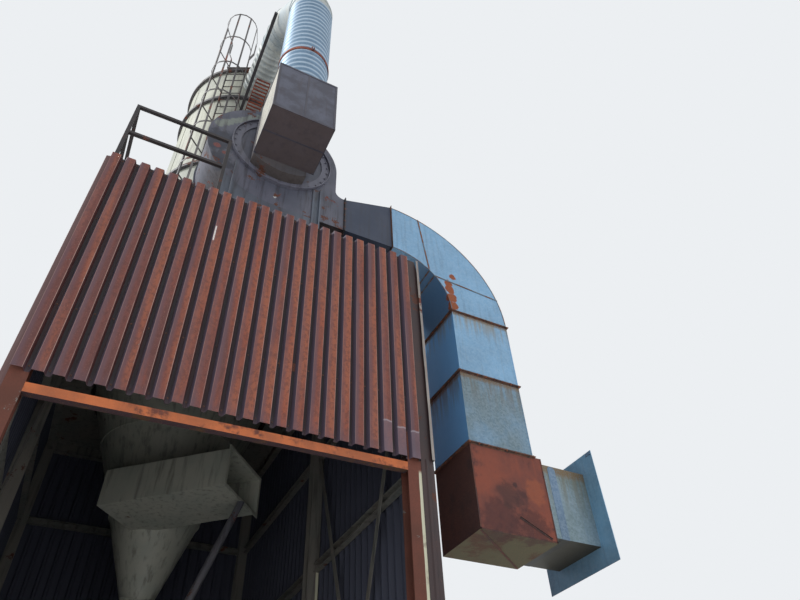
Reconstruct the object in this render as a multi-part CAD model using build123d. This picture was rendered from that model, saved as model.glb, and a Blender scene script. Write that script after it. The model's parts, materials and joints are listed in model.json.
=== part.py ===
from build123d import *
import math
import os

# Baghouse dust collector: a round filter house on a sheeted steel tower, with a centrifugal fan on the
# tower's front deck, a round clean-air duct from the filter house to the fan, and a square discharge
# duct that drops beside the tower and turns into a wall flange.
# Millimetres. Origin: centre of the front left column's base plate, on the ground. +X runs to the right
# along the front, +Y to the back, +Z up.

# Tower frame
bay_width = 3600.0
front_bay = 2720.0
rear_bay = 3600.0
column_size = 150.0
column_flange = 10.0
column_web = 8.0
base_plate_size = 300.0
base_plate_thickness = 20.0
anchor_spacing = 220.0
anchor_hole_radius = 11.0
deck_level = 7780.0
deck_thickness = 10.0
deck_beam_depth = 200.0
deck_beam_width = 100.0
front_opening_top = 4660.0
front_beam_depth = 150.0
channel_flange = 75.0
channel_plate = 8.0
girt_depth = 100.0
first_girt_level = 1500.0
girt_pitch = 1600.0
girt_count = 4
first_front_girt_level = 5540.0
front_girt_pitch = 1200.0
front_girt_count = 2
brace_size = 75.0
brace_plate = 8.0
brace_gap = 40.0

# Ribbed sheeting
rib_pitch = 158.0
rib_depth = 55.0
rib_crest = 72.0
rib_valley = 54.0
sheet_thickness = 2.0
front_sheet_bottom = 4840.0
side_sheet_bottom = 60.0
sheet_top = 7850.0
flashing_width = 147.0
flashing_bottom = 4870.0
flashing_lip = 35.0
flashing_curl = 350.0
flashing_curl_width = 40.0
flashing_thickness = 2.0

# Guard rail round the deck
rail_height = 1230.0
rail_size = 42.0
rail_inset = 30.0
rail_front_end = 1120.0
rail_duct_gap = 250.0
rail_post_gap = 1250.0

# Filter house, rolled in flats
house_sides = 32
shell_radius = 1500.0
shell_wall = 6.0
shell_bottom = 7980.0
shell_top = 16870.0
plenum_level = 15550.0
middle_band_level = 12910.0
band_height = 90.0
band_depth = 60.0
roof_thickness = 6.0
hopper_inset = 80.0
hopper_height = 3300.0
hopper_outlet_radius = 200.0
hopper_wall = 6.0
valve_size = 460.0
valve_height = 420.0
valve_plate = 12.0
valve_barrel_radius = 185.0
valve_barrel_sides = 24
spout_height = 500.0
spout_sides = 16
landing_width = 620.0
landing_depth = 420.0
landing_overhang = 80.0
landing_curb = 100.0
landing_plate = 6.0

# Dirty-air inlet of the hopper, with its prop
dirty_inlet_width = 900.0
dirty_inlet_height = 500.0
dirty_inlet_level = 5500.0
dirty_inlet_offset = 390.0
dirty_inlet_reach = 1805.0
dirty_inlet_turn = -41.7
dirty_inlet_flange = 12.0
prop_radius = 45.0
prop_sides = 12
prop_run = 1885.0
prop_foot_size = 220.0

# Ladder with its cage, on the filter house
ladder_turn = 25.5
ladder_standoff = 170.0
ladder_width = 420.0
stile_depth = 60.0
stile_thickness = 12.0
stile_flare = 90.0
flare_start = 250.0
flare_end = 530.0
grab_height = 1070.0
rung_pitch = 305.0
rung_size = 26.0
rung_sides = 4
bracket_height = 50.0
bracket_pitch = 2440.0
cage_radius = 375.0
cage_depth = 760.0
hoop_steps = 8
cage_top = 18020.0
hoop_pitch = 1270.0
hoop_count = 7
hoop_bar = 50.0
hoop_thickness = 8.0
cage_bar_width = 40.0

# Fan
fan_from_right = 1730.0
shaft_z = 9460.0
casing_front = 160.0
duct_depth = 770.0
scroll_side = 840.0
scroll_growth = 107.0
cutoff_fillet = 120.0
quarter_steps = 10
cutoff_steps = 4
side_plate = 8.0
side_lip = 25.0
outlet_reach = 990.0
outlet_drop = 490.0
side_ring_radius = 730.0
side_ring_plate = 14.0
side_ring_rim = 50.0
side_ring_sides = 32
collar_radius = 620.0
collar_sides = 32
inlet_box_width = 850.0
inlet_box_front = -795.0
inlet_box_back = -10.0
inlet_box_bottom = 9020.0
inlet_box_top = 10160.0

# Fan base and drive
base_left = -730.0
base_right = 610.0
base_leg_width = 108.0
base_plate = 10.0
base_channel_depth = 160.0
stiffener_depth = 60.0
stiffener_width = 20.0
left_stiffener = -608.0
left_stiffener_top = 8870.0
right_stiffener_top = 8920.0
drive_shaft_radius = 45.0
bearing_size = 180.0
near_bearing_gap = 90.0
far_bearing_gap = 360.0
motor_gap = 520.0
motor_radius = 230.0
motor_length = 620.0
motor_sides = 16
terminal_box_size = 180.0
terminal_box_rise = 60.0
stand_width = 520.0
stand_spread = 120.0
stand_plate = 20.0
stand_gap = 60.0

# Square discharge duct
transition_length = 740.0
floor_rise = 10.0
duct_width = 890.0
duct_wall = 4.0
throat_radius = 870.0
section_length = 1020.0
flange_leg = 40.0
flange_plate = 12.0
elbow_flange_leg = 22.0
turning_box_length = 1000.0
branch_length = 620.0
branch_rise = 60.0
branch_height = 890.0
wall_flange_margin = 220.0
wall_flange_thickness = 6.0

# Round clean-air duct
duct_sides = 20
round_radius = 378.0
round_wall = 3.0
clamp_level = 10950.0
clamp_width = 60.0
clamp_depth = 12.0
clamp_lug = 70.0
riser_top = 12900.0
return_z = 16200.0
lean = 30.0
bend_radius = 1130.0
lower_gores = 2
upper_gores = 4
return_turn = 3.0
outrigger_level = 14870.0
outrigger_size = 65.0
outrigger_reach = 2430.0
outrigger_spread = 473.0
rack_level = 14960.0
rack_reach = 860.0
rack_left = -386.0
rack_right = -67.0
rack_bar = 30.0
rack_bar_pitch = 86.0

# How far a cut runs past the face that it opens
overcut = 10.0

# Places that follow from the sizes
half_column = column_size / 2
frame_rows = (0.0, front_bay, front_bay + rear_bay)
column_lines = (0.0, bay_width)
left_line, right_line = -half_column, bay_width + half_column
front_line, rear_line = -half_column, front_bay + rear_bay + half_column
inner_left, inner_right = half_column, bay_width - half_column
deck_under = deck_level - deck_thickness
girt_levels = [first_girt_level + k * girt_pitch for k in range(girt_count)]
front_girt_levels = [first_front_girt_level + k * front_girt_pitch for k in range(front_girt_count)]
shell_x = bay_width / 2
shell_y = front_bay + rear_bay / 2
shell_place = Pos(shell_x, shell_y, 0)
hopper_top_radius = shell_radius - hopper_inset
valve_top = shell_bottom - hopper_height
spout_top = valve_top - valve_height
shaft_x = bay_width - fan_from_right
casing_back = casing_front + duct_depth
outlet_x = shaft_x + outlet_reach
outlet_top = shaft_z - outlet_drop
scroll_floor = shaft_z - scroll_side - 3 * scroll_growth
elbow_start = outlet_x + transition_length
duct_bottom = scroll_floor + floor_rise
duct_left = elbow_start + throat_radius
duct_right = duct_left + duct_width
joint_1 = duct_bottom - throat_radius
joint_2 = joint_1 - section_length
joint_3 = joint_2 - section_length
box_bottom = joint_3 - section_length
box_end = duct_left + turning_box_length
branch_bottom = box_bottom + branch_rise
branch_top = branch_bottom + branch_height
wall_x = box_end + branch_length
riser_y = (inlet_box_front + inlet_box_back) / 2
riser_turn = Pos(shaft_x, riser_y, 0) * Rot(0, 0, return_turn) * Pos(-shaft_x, -riser_y, 0)

os.makedirs("parts", exist_ok=True)


def save(shape, name):
    """Writes one node from one solid, or from a list of solids that don't touch."""
    export_step(Compound(shape) if isinstance(shape, list) else shape, f"parts/{name}.step")


def fuse(pieces):
    """Joins pieces that overlap or touch into one solid."""
    body = pieces[0]
    for piece in pieces[1:]:
        body = body + piece
    return body


def block(x0, x1, y0, y1, z0, z1):
    """A square-edged solid between two corners."""
    return Pos((x0 + x1) / 2, (y0 + y1) / 2, (z0 + z1) / 2) * Box(x1 - x0, y1 - y0, z1 - z0)


def prism_xz(face, y_front, y_back):
    """A face drawn in X and Z, extruded from its front to its back."""
    return extrude(Plane.XZ.offset(-y_back) * face, y_back - y_front)


def tube(radius, wall, z0, z1, sides):
    """An upright tube about the Z axis, rolled in flats."""
    section = RegularPolygon(radius, sides) - RegularPolygon(radius - wall, sides)
    return extrude(Pos(0, 0, z0) * section, z1 - z0)


def arc_points(centre, radius, start, end, steps):
    """Points along an arc, from one angle in degrees to another, for a sheet rolled in flats."""
    angles = [math.radians(start + (end - start) * k / steps) for k in range(steps + 1)]
    return [(centre[0] + radius * math.cos(a), centre[1] + radius * math.sin(a)) for a in angles]


def h_section(width, depth, flange, web):
    """An H outline, its flanges along X and its web along Y."""
    outline = Rectangle(width, depth)
    for side in (-1, 1):
        outline -= Pos(side * (width + web) / 4, 0) * Rectangle((width - web) / 2, depth - 2 * flange)
    return outline


def channel_section(depth):
    """A channel outline, its web on the Y axis and its flanges towards +X."""
    outline = Pos(channel_flange / 2, 0) * Rectangle(channel_flange, depth)
    hollow = Rectangle(channel_flange, depth - 2 * channel_plate)
    return outline - Pos(channel_flange / 2 + channel_plate, 0) * hollow


def along_x(section, x0, x1, y, z, facing=1):
    """A section run along X. Its own +X points to +Y, or to -Y where facing is -1."""
    return extrude(Plane(origin=(x0, y, z), x_dir=(0, facing, 0), z_dir=(1, 0, 0)) * section, x1 - x0)


def along_y(section, y0, y1, x, z, facing=1):
    """A section run along Y. Its own +X points to +X, or to -X where facing is -1."""
    return extrude(Plane(origin=(x, y0, z), x_dir=(facing, 0, 0), z_dir=(0, 1, 0)) * section, y1 - y0)


# Tower


def tower_columns():
    """Six H columns, from their base plates to the deck."""
    section = h_section(column_size, column_size, column_flange, column_web)
    foot = base_plate_thickness
    return [extrude(Pos(x, y, foot) * section, deck_under - foot) for x in column_lines for y in frame_rows]


def base_plates():
    """The columns' base plates, each with two anchor holes."""
    plates = []
    for x in column_lines:
        for y in frame_rows:
            face = Rectangle(base_plate_size, base_plate_size)
            for side in (-1, 1):
                face -= Pos(side * anchor_spacing / 2, 0) * Circle(anchor_hole_radius)
            plates.append(extrude(Pos(x, y, 0) * face, base_plate_thickness))
    return plates


def wall_girts():
    """Channels between the columns that carry the sheeting on all four sides."""
    section = channel_section(girt_depth)
    girts = []
    for level in girt_levels:
        z = level + girt_depth / 2
        for y0, y1 in zip(frame_rows[:-1], frame_rows[1:]):
            girts.append(along_y(section, y0 + half_column, y1 - half_column, left_line, z))
            girts.append(along_y(section, y0 + half_column, y1 - half_column, right_line, z, -1))
        girts.append(along_x(section, inner_left, inner_right, rear_line, z, -1))
    for level in front_girt_levels:
        girts.append(along_x(section, inner_left, inner_right, front_line, level + girt_depth / 2))
    return girts


def wall_braces():
    """A V of flat bars in the front bay of each long side, between two girts, inside them."""
    middle = front_bay / 2
    low = girt_levels[1] + girt_depth
    high = girt_levels[-1]
    braces = []
    for x_inner, facing in ((left_line + channel_flange, 1), (right_line - channel_flange, -1)):
        plane = Plane(origin=(x_inner, 0, 0), x_dir=(0, 1, 0), z_dir=(1, 0, 0))
        for side in (-1, 1):
            foot = middle + side * brace_gap
            head = middle + side * (middle - half_column)
            rise = high - low
            reach = brace_size * math.hypot(head - foot, rise) / rise * side
            corners = [(foot, low), (foot + reach, low), (head, high), (head - reach, high)]
            outline = make_face(Polyline(*corners, close=True))
            braces.append(extrude(plane * outline, facing * brace_plate))
    return braces


def deck_beams():
    """The beams under the deck, between the columns."""
    section = h_section(deck_beam_width, deck_beam_depth, column_flange, column_web)
    z = deck_under - deck_beam_depth / 2
    beams = [along_x(section, inner_left, inner_right, y, z) for y in frame_rows]
    for x in column_lines:
        for y0, y1 in zip(frame_rows[:-1], frame_rows[1:]):
            beams.append(along_y(section, y0 + half_column, y1 - half_column, x, z))
    return beams


def deck_plate():
    """The deck, with the hole that the hopper hangs through."""
    plate = block(left_line, right_line, front_line, rear_line, deck_under, deck_level)
    hole = shell_place * Pos(0, 0, deck_under) * RegularPolygon(hopper_top_radius, house_sides)
    return plate - extrude(hole, deck_thickness)


def ribbed_sheet(length, bottom, top):
    """A ribbed sheet standing along +X, its back at Y 0 and its crests towards -Y."""
    slope = (rib_pitch - rib_crest - rib_valley) / 2
    count = int(length // rib_pitch)
    start = (length - count * rib_pitch) / 2
    line = [(0.0, 0.0)]
    for k in range(count):
        left = start + k * rib_pitch + rib_valley / 2
        right = left + 2 * slope + rib_crest
        line += [(left, 0.0), (left + slope, -rib_depth), (right - slope, -rib_depth), (right, 0.0)]
    line.append((length, 0.0))
    front = [(x, y - sheet_thickness) for x, y in line]
    section = make_face(Polyline(*front, *reversed(line), close=True))
    return extrude(Pos(0, 0, bottom) * section, top - bottom)


def corner_flashing():
    """The strip that closes the front right corner, its top curled back towards the tower."""
    left, right = right_line, right_line + flashing_width
    curl_start = sheet_top - flashing_curl
    strip_edge = Line((right, flashing_bottom), (right, curl_start))
    curl = TangentArc(strip_edge @ 1, (right - flashing_curl_width, sheet_top), tangent=(0, 1))
    rest = Polyline(curl @ 1, (left, sheet_top), (left, flashing_bottom), strip_edge @ 0)
    face_front = front_line - flashing_thickness
    strip = prism_xz(make_face(strip_edge + curl + rest), face_front, front_line)
    lip_left, lip_front = right - flashing_thickness, front_line - flashing_lip
    return strip + block(lip_left, right, lip_front, front_line, flashing_bottom, curl_start)


def guard_rail():
    """Top rail, knee rail and posts round the deck, from the fan's left side to behind its duct."""
    left, right = left_line + rail_inset, right_line - rail_inset
    front, rear = front_line + rail_inset, rear_line - rail_inset
    right_end = casing_back + rail_duct_gap
    corners = [(rail_front_end, front), (left, front), (left, rear), (right, rear), (right, right_end)]
    half = rail_size / 2
    top = deck_level + rail_height - rail_size
    pieces = []
    for (xa, ya), (xb, yb) in zip(corners[:-1], corners[1:]):
        for z in (top, deck_level + rail_height / 2):
            x0, x1 = min(xa, xb) - half, max(xa, xb) + half
            pieces.append(block(x0, x1, min(ya, yb) - half, max(ya, yb) + half, z, z + rail_size))
        gaps = math.ceil(math.hypot(xb - xa, yb - ya) / rail_post_gap)
        for k in range(gaps + 1):
            x, y = xa + (xb - xa) * k / gaps, ya + (yb - ya) * k / gaps
            pieces.append(block(x - half, x + half, y - half, y + half, deck_level, top))
    return fuse(pieces)


# Filter house


def house_core(radius, bottom, top):
    """A solid of the filter house's plan."""
    return extrude(shell_place * Pos(0, 0, bottom) * RegularPolygon(radius, house_sides), top - bottom)


def hopper_core(inset):
    """A solid of the hopper's inside or outside: flat sides between its outlet and its top."""
    rims = []
    for radius, z in ((hopper_outlet_radius - inset, valve_top), (hopper_top_radius - inset, shell_bottom)):
        plan = arc_points((shell_x, shell_y), radius, 0, 360, house_sides)[:-1]
        rims.append([(x, y, z) for x, y in plan])
    foot, top = rims
    outlines = [foot, top] + [(foot[k - 1], foot[k], top[k], top[k - 1]) for k in range(house_sides)]
    return Solid(Shell([Face(Wire.make_polygon(outline)) for outline in outlines]))


def house_band(top):
    """A ring round the filter house."""
    return shell_place * tube(shell_radius + band_depth, band_depth, top - band_height, top, house_sides)


def inlet_place():
    """The dirty-air inlet's own frame: +X along its flow from the hopper's axis, out to its flange."""
    return Location((shell_x, shell_y, 0), (0, 0, dirty_inlet_turn))


def inlet_block(x0, x1, grow):
    """A stretch of the dirty-air inlet, its section grown or shrunk all round."""
    near, far = dirty_inlet_offset, dirty_inlet_offset + dirty_inlet_width
    low, high = dirty_inlet_level, dirty_inlet_level + dirty_inlet_height
    return inlet_place() * block(x0, x1, -far - grow, -near + grow, low - grow, high + grow)


def dirty_inlet():
    """The square dirty-air inlet, set to one side of the hopper, with its end flange."""
    reach = dirty_inlet_reach
    body = inlet_block(0, reach, 0) + inlet_block(reach - dirty_inlet_flange, reach, flange_leg)
    return body - inlet_block(0, reach + overcut, -hopper_wall) - hopper_core(0)


def raking_prop():
    """A leaning tube with its foot plate, under the inlet's flange."""
    middle = -dirty_inlet_offset - dirty_inlet_width / 2
    seat = Pos(dirty_inlet_reach - dirty_inlet_flange / 2, middle, dirty_inlet_level - flange_leg)
    head = (inlet_place() * seat).position
    foot = Vector(head.X - prop_run, head.Y, 0)
    axis = head - foot
    overrun = prop_foot_size
    start = Plane(origin=foot - axis.normalized() * overrun, z_dir=axis)
    leaning_tube = extrude(start * RegularPolygon(prop_radius, prop_sides), axis.length + 2 * overrun)
    side = prop_radius * 2
    foot_top = base_plate_thickness
    room = block(foot.X - side, bay_width, foot.Y - side, foot.Y + side, foot_top, head.Z)
    pad = Pos(foot.X, foot.Y, foot_top / 2) * Box(prop_foot_size, prop_foot_size, foot_top)
    return (leaning_tube & room) + pad


def discharge_valve():
    """A rotary valve: a barrel in a neck between two flange plates."""
    z0, z1 = spout_top, valve_top
    half = valve_size / 2
    reach = hopper_outlet_radius
    end = Plane(origin=(shell_x, shell_y + half, (z0 + z1) / 2), z_dir=(0, -1, 0))
    barrel = extrude(end * RegularPolygon(valve_barrel_radius, valve_barrel_sides), valve_size)
    neck = block(shell_x - reach, shell_x + reach, shell_y - reach, shell_y + reach, z0, z1)
    x0, x1, y0, y1 = shell_x - half, shell_x + half, shell_y - half, shell_y + half
    foot = block(x0, x1, y0, y1, z0, z0 + valve_plate)
    head = block(x0, x1, y0, y1, z1 - valve_plate, z1)
    return fuse([neck, barrel, foot, head])


def filter_house_shell():
    """The wall, with the hole where the clean-air duct leaves under the roof."""
    wall = shell_place * tube(shell_radius, shell_wall, shell_bottom, shell_top, house_sides)
    start = Plane(origin=(shaft_x, shell_y, return_z), x_dir=(1, 0, 0), z_dir=(0, -1, 0))
    hole = extrude(start * RegularPolygon(round_radius - round_wall, duct_sides), 2 * shell_radius)
    return wall - riser_turn * hole


def ladder_place():
    """The ladder's frame: origin at the wall's foot line, +Y into the wall, +X to the climber's right."""
    turn = math.radians(ladder_turn)
    x, y = shell_x - shell_radius * math.sin(turn), shell_y - shell_radius * math.cos(turn)
    return Location((x, y, 0), (0, 0, -ladder_turn))


def ladder():
    """Stiles that flare above the roof, rungs, and brackets to the wall."""
    half, plate, flare = ladder_width / 2, stile_thickness, stile_flare
    low, high = shell_top + flare_start, shell_top + flare_end
    top = shell_top + grab_height
    y0, y1 = -ladder_standoff - stile_depth / 2, -ladder_standoff + stile_depth / 2
    inner = [(half, deck_level), (half, low), (half + flare, high), (half + flare, top)]
    outer = [(x + plate, z) for x, z in reversed(inner)]
    stile = prism_xz(make_face(Polyline(*inner, *outer, close=True)), y0, y1)
    pieces = [stile, mirror(stile, Plane.YZ)]
    for k in range(int((shell_top - deck_level) // rung_pitch)):
        centre = Plane(origin=(-half, -ladder_standoff, deck_level + (k + 1) * rung_pitch), z_dir=(1, 0, 0))
        pieces.append(extrude(centre * RegularPolygon(rung_size / 2, rung_sides), ladder_width))
    for k in range(1, int((shell_top - deck_level) // bracket_pitch) + 1):
        z = deck_level + k * bracket_pitch
        for side in (-half - plate, half):
            pieces.append(block(side, side + plate, y0, ladder_standoff, z, z + bracket_height))
    return ladder_place() * fuse(pieces) - house_core(shell_radius, deck_level, shell_top)


def hoop_edge(radius, foot_x):
    """The edge of a hoop: a half circle with an arm back to each stile, as points."""
    centre_y = -ladder_standoff - cage_depth + cage_radius
    arc = arc_points((0, centre_y), radius, 180, 360, hoop_steps)
    return [(-foot_x, -ladder_standoff), *arc, (foot_x, -ladder_standoff)]


def ladder_cage():
    """Hoops round the climber, joined by five upright bars."""
    pieces = []
    for k in range(hoop_count):
        z = cage_top - hoop_bar - k * hoop_pitch
        foot_x = ladder_width / 2 + stile_thickness + (stile_flare if z > shell_top else 0)
        outer = hoop_edge(cage_radius, foot_x + hoop_thickness)
        inner = hoop_edge(cage_radius - hoop_thickness, foot_x)
        face = make_face(Polyline(*outer, *reversed(inner), close=True))
        pieces.append(extrude(Pos(0, 0, z) * face, hoop_bar))
    height = (hoop_count - 1) * hoop_pitch + hoop_bar
    centre_y = -ladder_standoff - cage_depth + cage_radius
    reach = cage_radius - 1.5 * hoop_thickness
    for angle in (180, 225, 270, 315, 360):
        bar = Pos(reach, 0, cage_top - height / 2) * Box(hoop_thickness, cage_bar_width, height)
        pieces.append(Pos(0, centre_y, 0) * Rot(0, 0, angle) * bar)
    return ladder_place() * fuse(pieces)


def roof_landing():
    """The step-off plate from the ladder to the roof, with its two curbs."""
    half, plate = landing_width / 2, landing_plate
    z = shell_top + roof_thickness
    y0, y1 = -landing_overhang, landing_depth
    pieces = [block(-half, half, y0, y1, z, z + plate)]
    for side in (-half, half - plate):
        pieces.append(block(side, side + plate, y0, y1, z, z + landing_curb))
    return ladder_place() * fuse(pieces)


# Fan


def scroll_face(inset):
    """The casing's side: three quarter arcs of growing radius, the floor, the outlet and the cut-off."""
    grow = scroll_growth
    radius = scroll_side + grow / 2 - inset
    near, far = shaft_z - grow / 2, shaft_z + grow / 2
    left, right = shaft_x - grow / 2, shaft_x + grow / 2
    points = arc_points((left, far), radius, 0, 90, quarter_steps)
    points += arc_points((left, near), radius + grow, 90, 180, quarter_steps)[1:]
    points += arc_points((right, near), radius + 2 * grow, 180, 270, quarter_steps)[1:]
    floor, ceiling = points[-1][1], outlet_top - inset
    fillet_radius = cutoff_fillet + inset
    fillet_centre = (shaft_x + scroll_side - inset + fillet_radius, ceiling + fillet_radius)
    points += [(outlet_x, floor), (outlet_x, ceiling)]
    points += arc_points(fillet_centre, fillet_radius, 270, 180, cutoff_steps)
    return make_face(Polyline(*points, close=True))


def fan_casing():
    """The scroll casing: a wrapper between two side plates that stand proud of it."""
    wrapper = prism_xz(scroll_face(side_lip), casing_front + side_plate, casing_back - side_plate)
    sides = scroll_face(0)
    front = prism_xz(sides, casing_front, casing_front + side_plate)
    back = prism_xz(sides, casing_back - side_plate, casing_back)
    return wrapper + front + back


def facing_front(area, y_front, y_back):
    """An area about the fan's shaft, extruded between two places in Y."""
    return extrude(Plane(origin=(shaft_x, y_back, shaft_z), z_dir=(0, -1, 0)) * area, y_back - y_front)


def fan_side_ring():
    """The inlet side's cover plate with its outstanding rim."""
    cover = RegularPolygon(side_ring_radius, side_ring_sides)
    rim = cover - RegularPolygon(side_ring_radius - side_ring_plate, side_ring_sides)
    plate_front, rim_front = casing_front - side_ring_plate, casing_front - side_ring_rim
    return facing_front(cover, plate_front, casing_front) + facing_front(rim, rim_front, casing_front)


def fan_base(casing):
    """Plates and channels from the deck to the casing, with upright stiffeners."""
    left, right = shaft_x + base_left, shaft_x + base_right
    front, back, plate = casing_front, casing_back, base_plate
    low = deck_level
    pieces = [
        block(left, right, front, front + plate, low, shaft_z),
        block(left, right, back - plate, back, low, shaft_z),
        block(left, left + plate, front, back, low, shaft_z),
        block(right - plate, right, front, back, low, scroll_floor),
    ]
    channel_end = outlet_x - base_leg_width
    for y0 in (front + plate, back - plate - base_leg_width):
        pieces.append(block(left, channel_end, y0, y0 + base_leg_width, low, low + base_channel_depth))
    shell = fuse(pieces) - prism_xz(scroll_face(0), front - overcut, back + overcut) - casing
    width, proud = stiffener_width, front - stiffener_depth
    bar_left = shaft_x + left_stiffener
    bars = [
        block(bar_left, bar_left + width, proud, front, low, left_stiffener_top),
        block(right - base_leg_width, right, front - width, front, low, right_stiffener_top),
        block(right - width, right, proud, front, low, right_stiffener_top),
    ]
    return fuse([shell] + bars)


def motor_stand():
    """The stand behind the fan: a top plate on a tapered box."""
    top = shaft_z - motor_radius - stand_plate
    y0, y1 = casing_back + stand_gap, casing_back + motor_gap + motor_length
    half, foot = stand_width / 2, stand_width / 2 + stand_spread
    outline = [(-foot, deck_level), (foot, deck_level), (half, top), (half, top + stand_plate)]
    outline += [(-half, top + stand_plate), (-half, top)]
    face = make_face(Polyline(*[(shaft_x + x, z) for x, z in outline], close=True))
    return prism_xz(face, y0, y1)


def fan_motor():
    """The drive: shaft, two bearing blocks, and the motor with its terminal box."""
    motor_front = casing_back + motor_gap
    motor_back = motor_front + motor_length
    half = bearing_size / 2
    seat = shaft_z - motor_radius
    pieces = [facing_front(RegularPolygon(motor_radius, motor_sides), motor_front, motor_back)]
    pieces.append(facing_front(RegularPolygon(drive_shaft_radius, motor_sides), casing_back, motor_front))
    for gap in (near_bearing_gap, far_bearing_gap):
        y = casing_back + gap
        pieces.append(block(shaft_x - half, shaft_x + half, y, y + half, seat, shaft_z + half))
    box = terminal_box_size / 2
    y = (motor_front + motor_back) / 2
    reach = motor_radius + terminal_box_rise
    pieces.append(block(shaft_x, shaft_x + reach, y - box, y + box, shaft_z - box, shaft_z + box))
    left, right = shaft_x - motor_radius, shaft_x + motor_radius
    foot_top = shaft_z - motor_radius / 2
    pieces.append(block(left, right, motor_front + half, motor_back - half, seat, foot_top))
    return fuse(pieces)


# Square discharge duct


def transition_core(inset):
    """A solid of the transition's outside or inside: the roof rises and the sides run on."""
    low, high = scroll_floor + inset, outlet_top - inset
    end_low, end_high = duct_bottom + inset, duct_bottom + duct_width - inset
    corners = [(outlet_x, low), (elbow_start, end_low), (elbow_start, end_high), (outlet_x, high)]
    return prism_xz(make_face(Polyline(*corners, close=True)), casing_front + inset, casing_back - inset)


def quarter_face(inner, outer):
    """A quarter ring about the bend's centre, drawn in X and Z."""
    centre = (elbow_start, joint_1)
    near = arc_points(centre, inner, 0, 90, quarter_steps)
    far = arc_points(centre, outer, 90, 0, quarter_steps)
    return make_face(Polyline(*near, *far, close=True))


def elbow_cheeks():
    """The bend's two flat side sheets."""
    side = quarter_face(throat_radius, throat_radius + duct_width)
    inner_front, inner_back = casing_front + duct_wall, casing_back - duct_wall
    return [prism_xz(side, casing_front, inner_front), prism_xz(side, inner_back, casing_back)]


def discharge_elbow():
    """The bend's rolled throat and heel sheets, between its cheeks."""
    front, back = casing_front + duct_wall, casing_back - duct_wall
    heel = throat_radius + duct_width
    throat_sheet = prism_xz(quarter_face(throat_radius, throat_radius + duct_wall), front, back)
    heel_sheet = prism_xz(quarter_face(heel - duct_wall, heel), front, back)
    return [throat_sheet, heel_sheet]


def drop_duct(bottom, top):
    """A straight length of the drop duct."""
    left, right = duct_left + duct_wall, duct_right - duct_wall
    front, back = casing_front + duct_wall, casing_back - duct_wall
    duct = block(duct_left, duct_right, casing_front, casing_back, bottom, top)
    return duct - block(left, right, front, back, bottom, top)


def level_frame(bottom):
    """An angle frame round the drop duct."""
    left, right = duct_left - flange_leg, duct_right + flange_leg
    front, back = casing_front - flange_leg, casing_back + flange_leg
    top = bottom + flange_plate
    frame = block(left, right, front, back, bottom, top)
    return frame - block(duct_left, duct_right, casing_front, casing_back, bottom, top)


def duct_flanges(casing):
    """The frames at the fan's outlet, at both ends of the bend and at the drop duct's joints."""
    plate, leg, small = flange_plate, flange_leg, elbow_flange_leg
    front, back, low, high = casing_front - leg, casing_back + leg, scroll_floor - leg, outlet_top + leg
    outlet = block(outlet_x - 2 * plate, outlet_x + plate, front, back, low, high)
    front, back, low = casing_front - small, casing_back + small, duct_bottom - small
    bend = block(elbow_start - plate, elbow_start, front, back, low, duct_bottom + duct_width + small)
    frames = [outlet - casing - transition_core(0), bend - transition_core(0)]
    return frames + [level_frame(z) for z in (joint_1 - plate, joint_2, joint_3)]


def turning_box():
    """The box that turns the air from down to level, open at its top and at its right side."""
    wall = duct_wall
    front, back = casing_front + wall, casing_back - wall
    box = block(duct_left, box_end, casing_front, casing_back, box_bottom, joint_3)
    box -= block(duct_left + wall, box_end - wall, front, back, box_bottom + wall, joint_3 - wall)
    box -= block(duct_left + wall, duct_right - wall, front, back, box_bottom + wall, joint_3)
    return box - block(box_end - wall, box_end, front, back, branch_bottom + wall, branch_top - wall)


def branch_duct():
    """The level length from the turning box to the wall."""
    front, back = casing_front + duct_wall, casing_back - duct_wall
    low, high = branch_bottom + duct_wall, branch_top - duct_wall
    duct = block(box_end, wall_x, casing_front, casing_back, branch_bottom, branch_top)
    return duct - block(box_end, wall_x, front, back, low, high)


def wall_flange():
    """The flange plate on the wall, round the branch's mouth."""
    margin, face_x = wall_flange_margin, wall_x + wall_flange_thickness
    front, back = casing_front - margin, casing_back + margin
    plate = block(wall_x, face_x, front, back, branch_bottom - margin, branch_top + margin)
    return plate - block(wall_x, face_x, casing_front, casing_back, branch_bottom, branch_top)


# Round clean-air duct


def gored_arc(centre, start, end, gores):
    """The corners of a bend of straight pieces that touch its arc, as points in Y and Z."""
    step = math.radians(end - start) / gores
    reach = bend_radius / math.cos(step / 2)
    angles = [math.radians(start) + (k + 0.5) * step for k in range(gores)]
    return [(centre[0] - reach * math.cos(a), centre[1] + reach * math.sin(a)) for a in angles]


def return_path():
    """The riser's top leans back, runs straight, then bends level: points in Y and Z."""
    turn = math.radians(lean)
    lower_end_y = riser_y + bend_radius * (1 - math.cos(turn))
    lower_end_z = riser_top + bend_radius * math.sin(turn)
    upper_start_z = return_z - bend_radius * (1 - math.sin(turn))
    upper_start_y = lower_end_y + (upper_start_z - lower_end_z) * math.tan(turn)
    lower_centre = (riser_y + bend_radius, riser_top)
    upper_centre = (upper_start_y + bend_radius * math.cos(turn), return_z - bend_radius)
    points = [(riser_y, riser_top)]
    points += gored_arc(lower_centre, 0, lean, lower_gores)
    points += gored_arc(upper_centre, lean, 90, upper_gores)
    points.append((upper_centre[0], return_z))
    return points


def mitred_duct(points, radius):
    """A solid round duct along points in Y and Z, above the fan's shaft, with mitred joints."""
    path = Polyline(*[(shaft_x, y, z) for y, z in points])
    start = Plane(origin=path @ 0, x_dir=(1, 0, 0), z_dir=path % 0)
    return sweep(start * RegularPolygon(radius, duct_sides), path=path, transition=Transition.RIGHT)


def return_bend():
    """The gored bend from the riser to the level run."""
    points = return_path()
    return riser_turn * (mitred_duct(points, round_radius) - mitred_duct(points, round_radius - round_wall))


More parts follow.
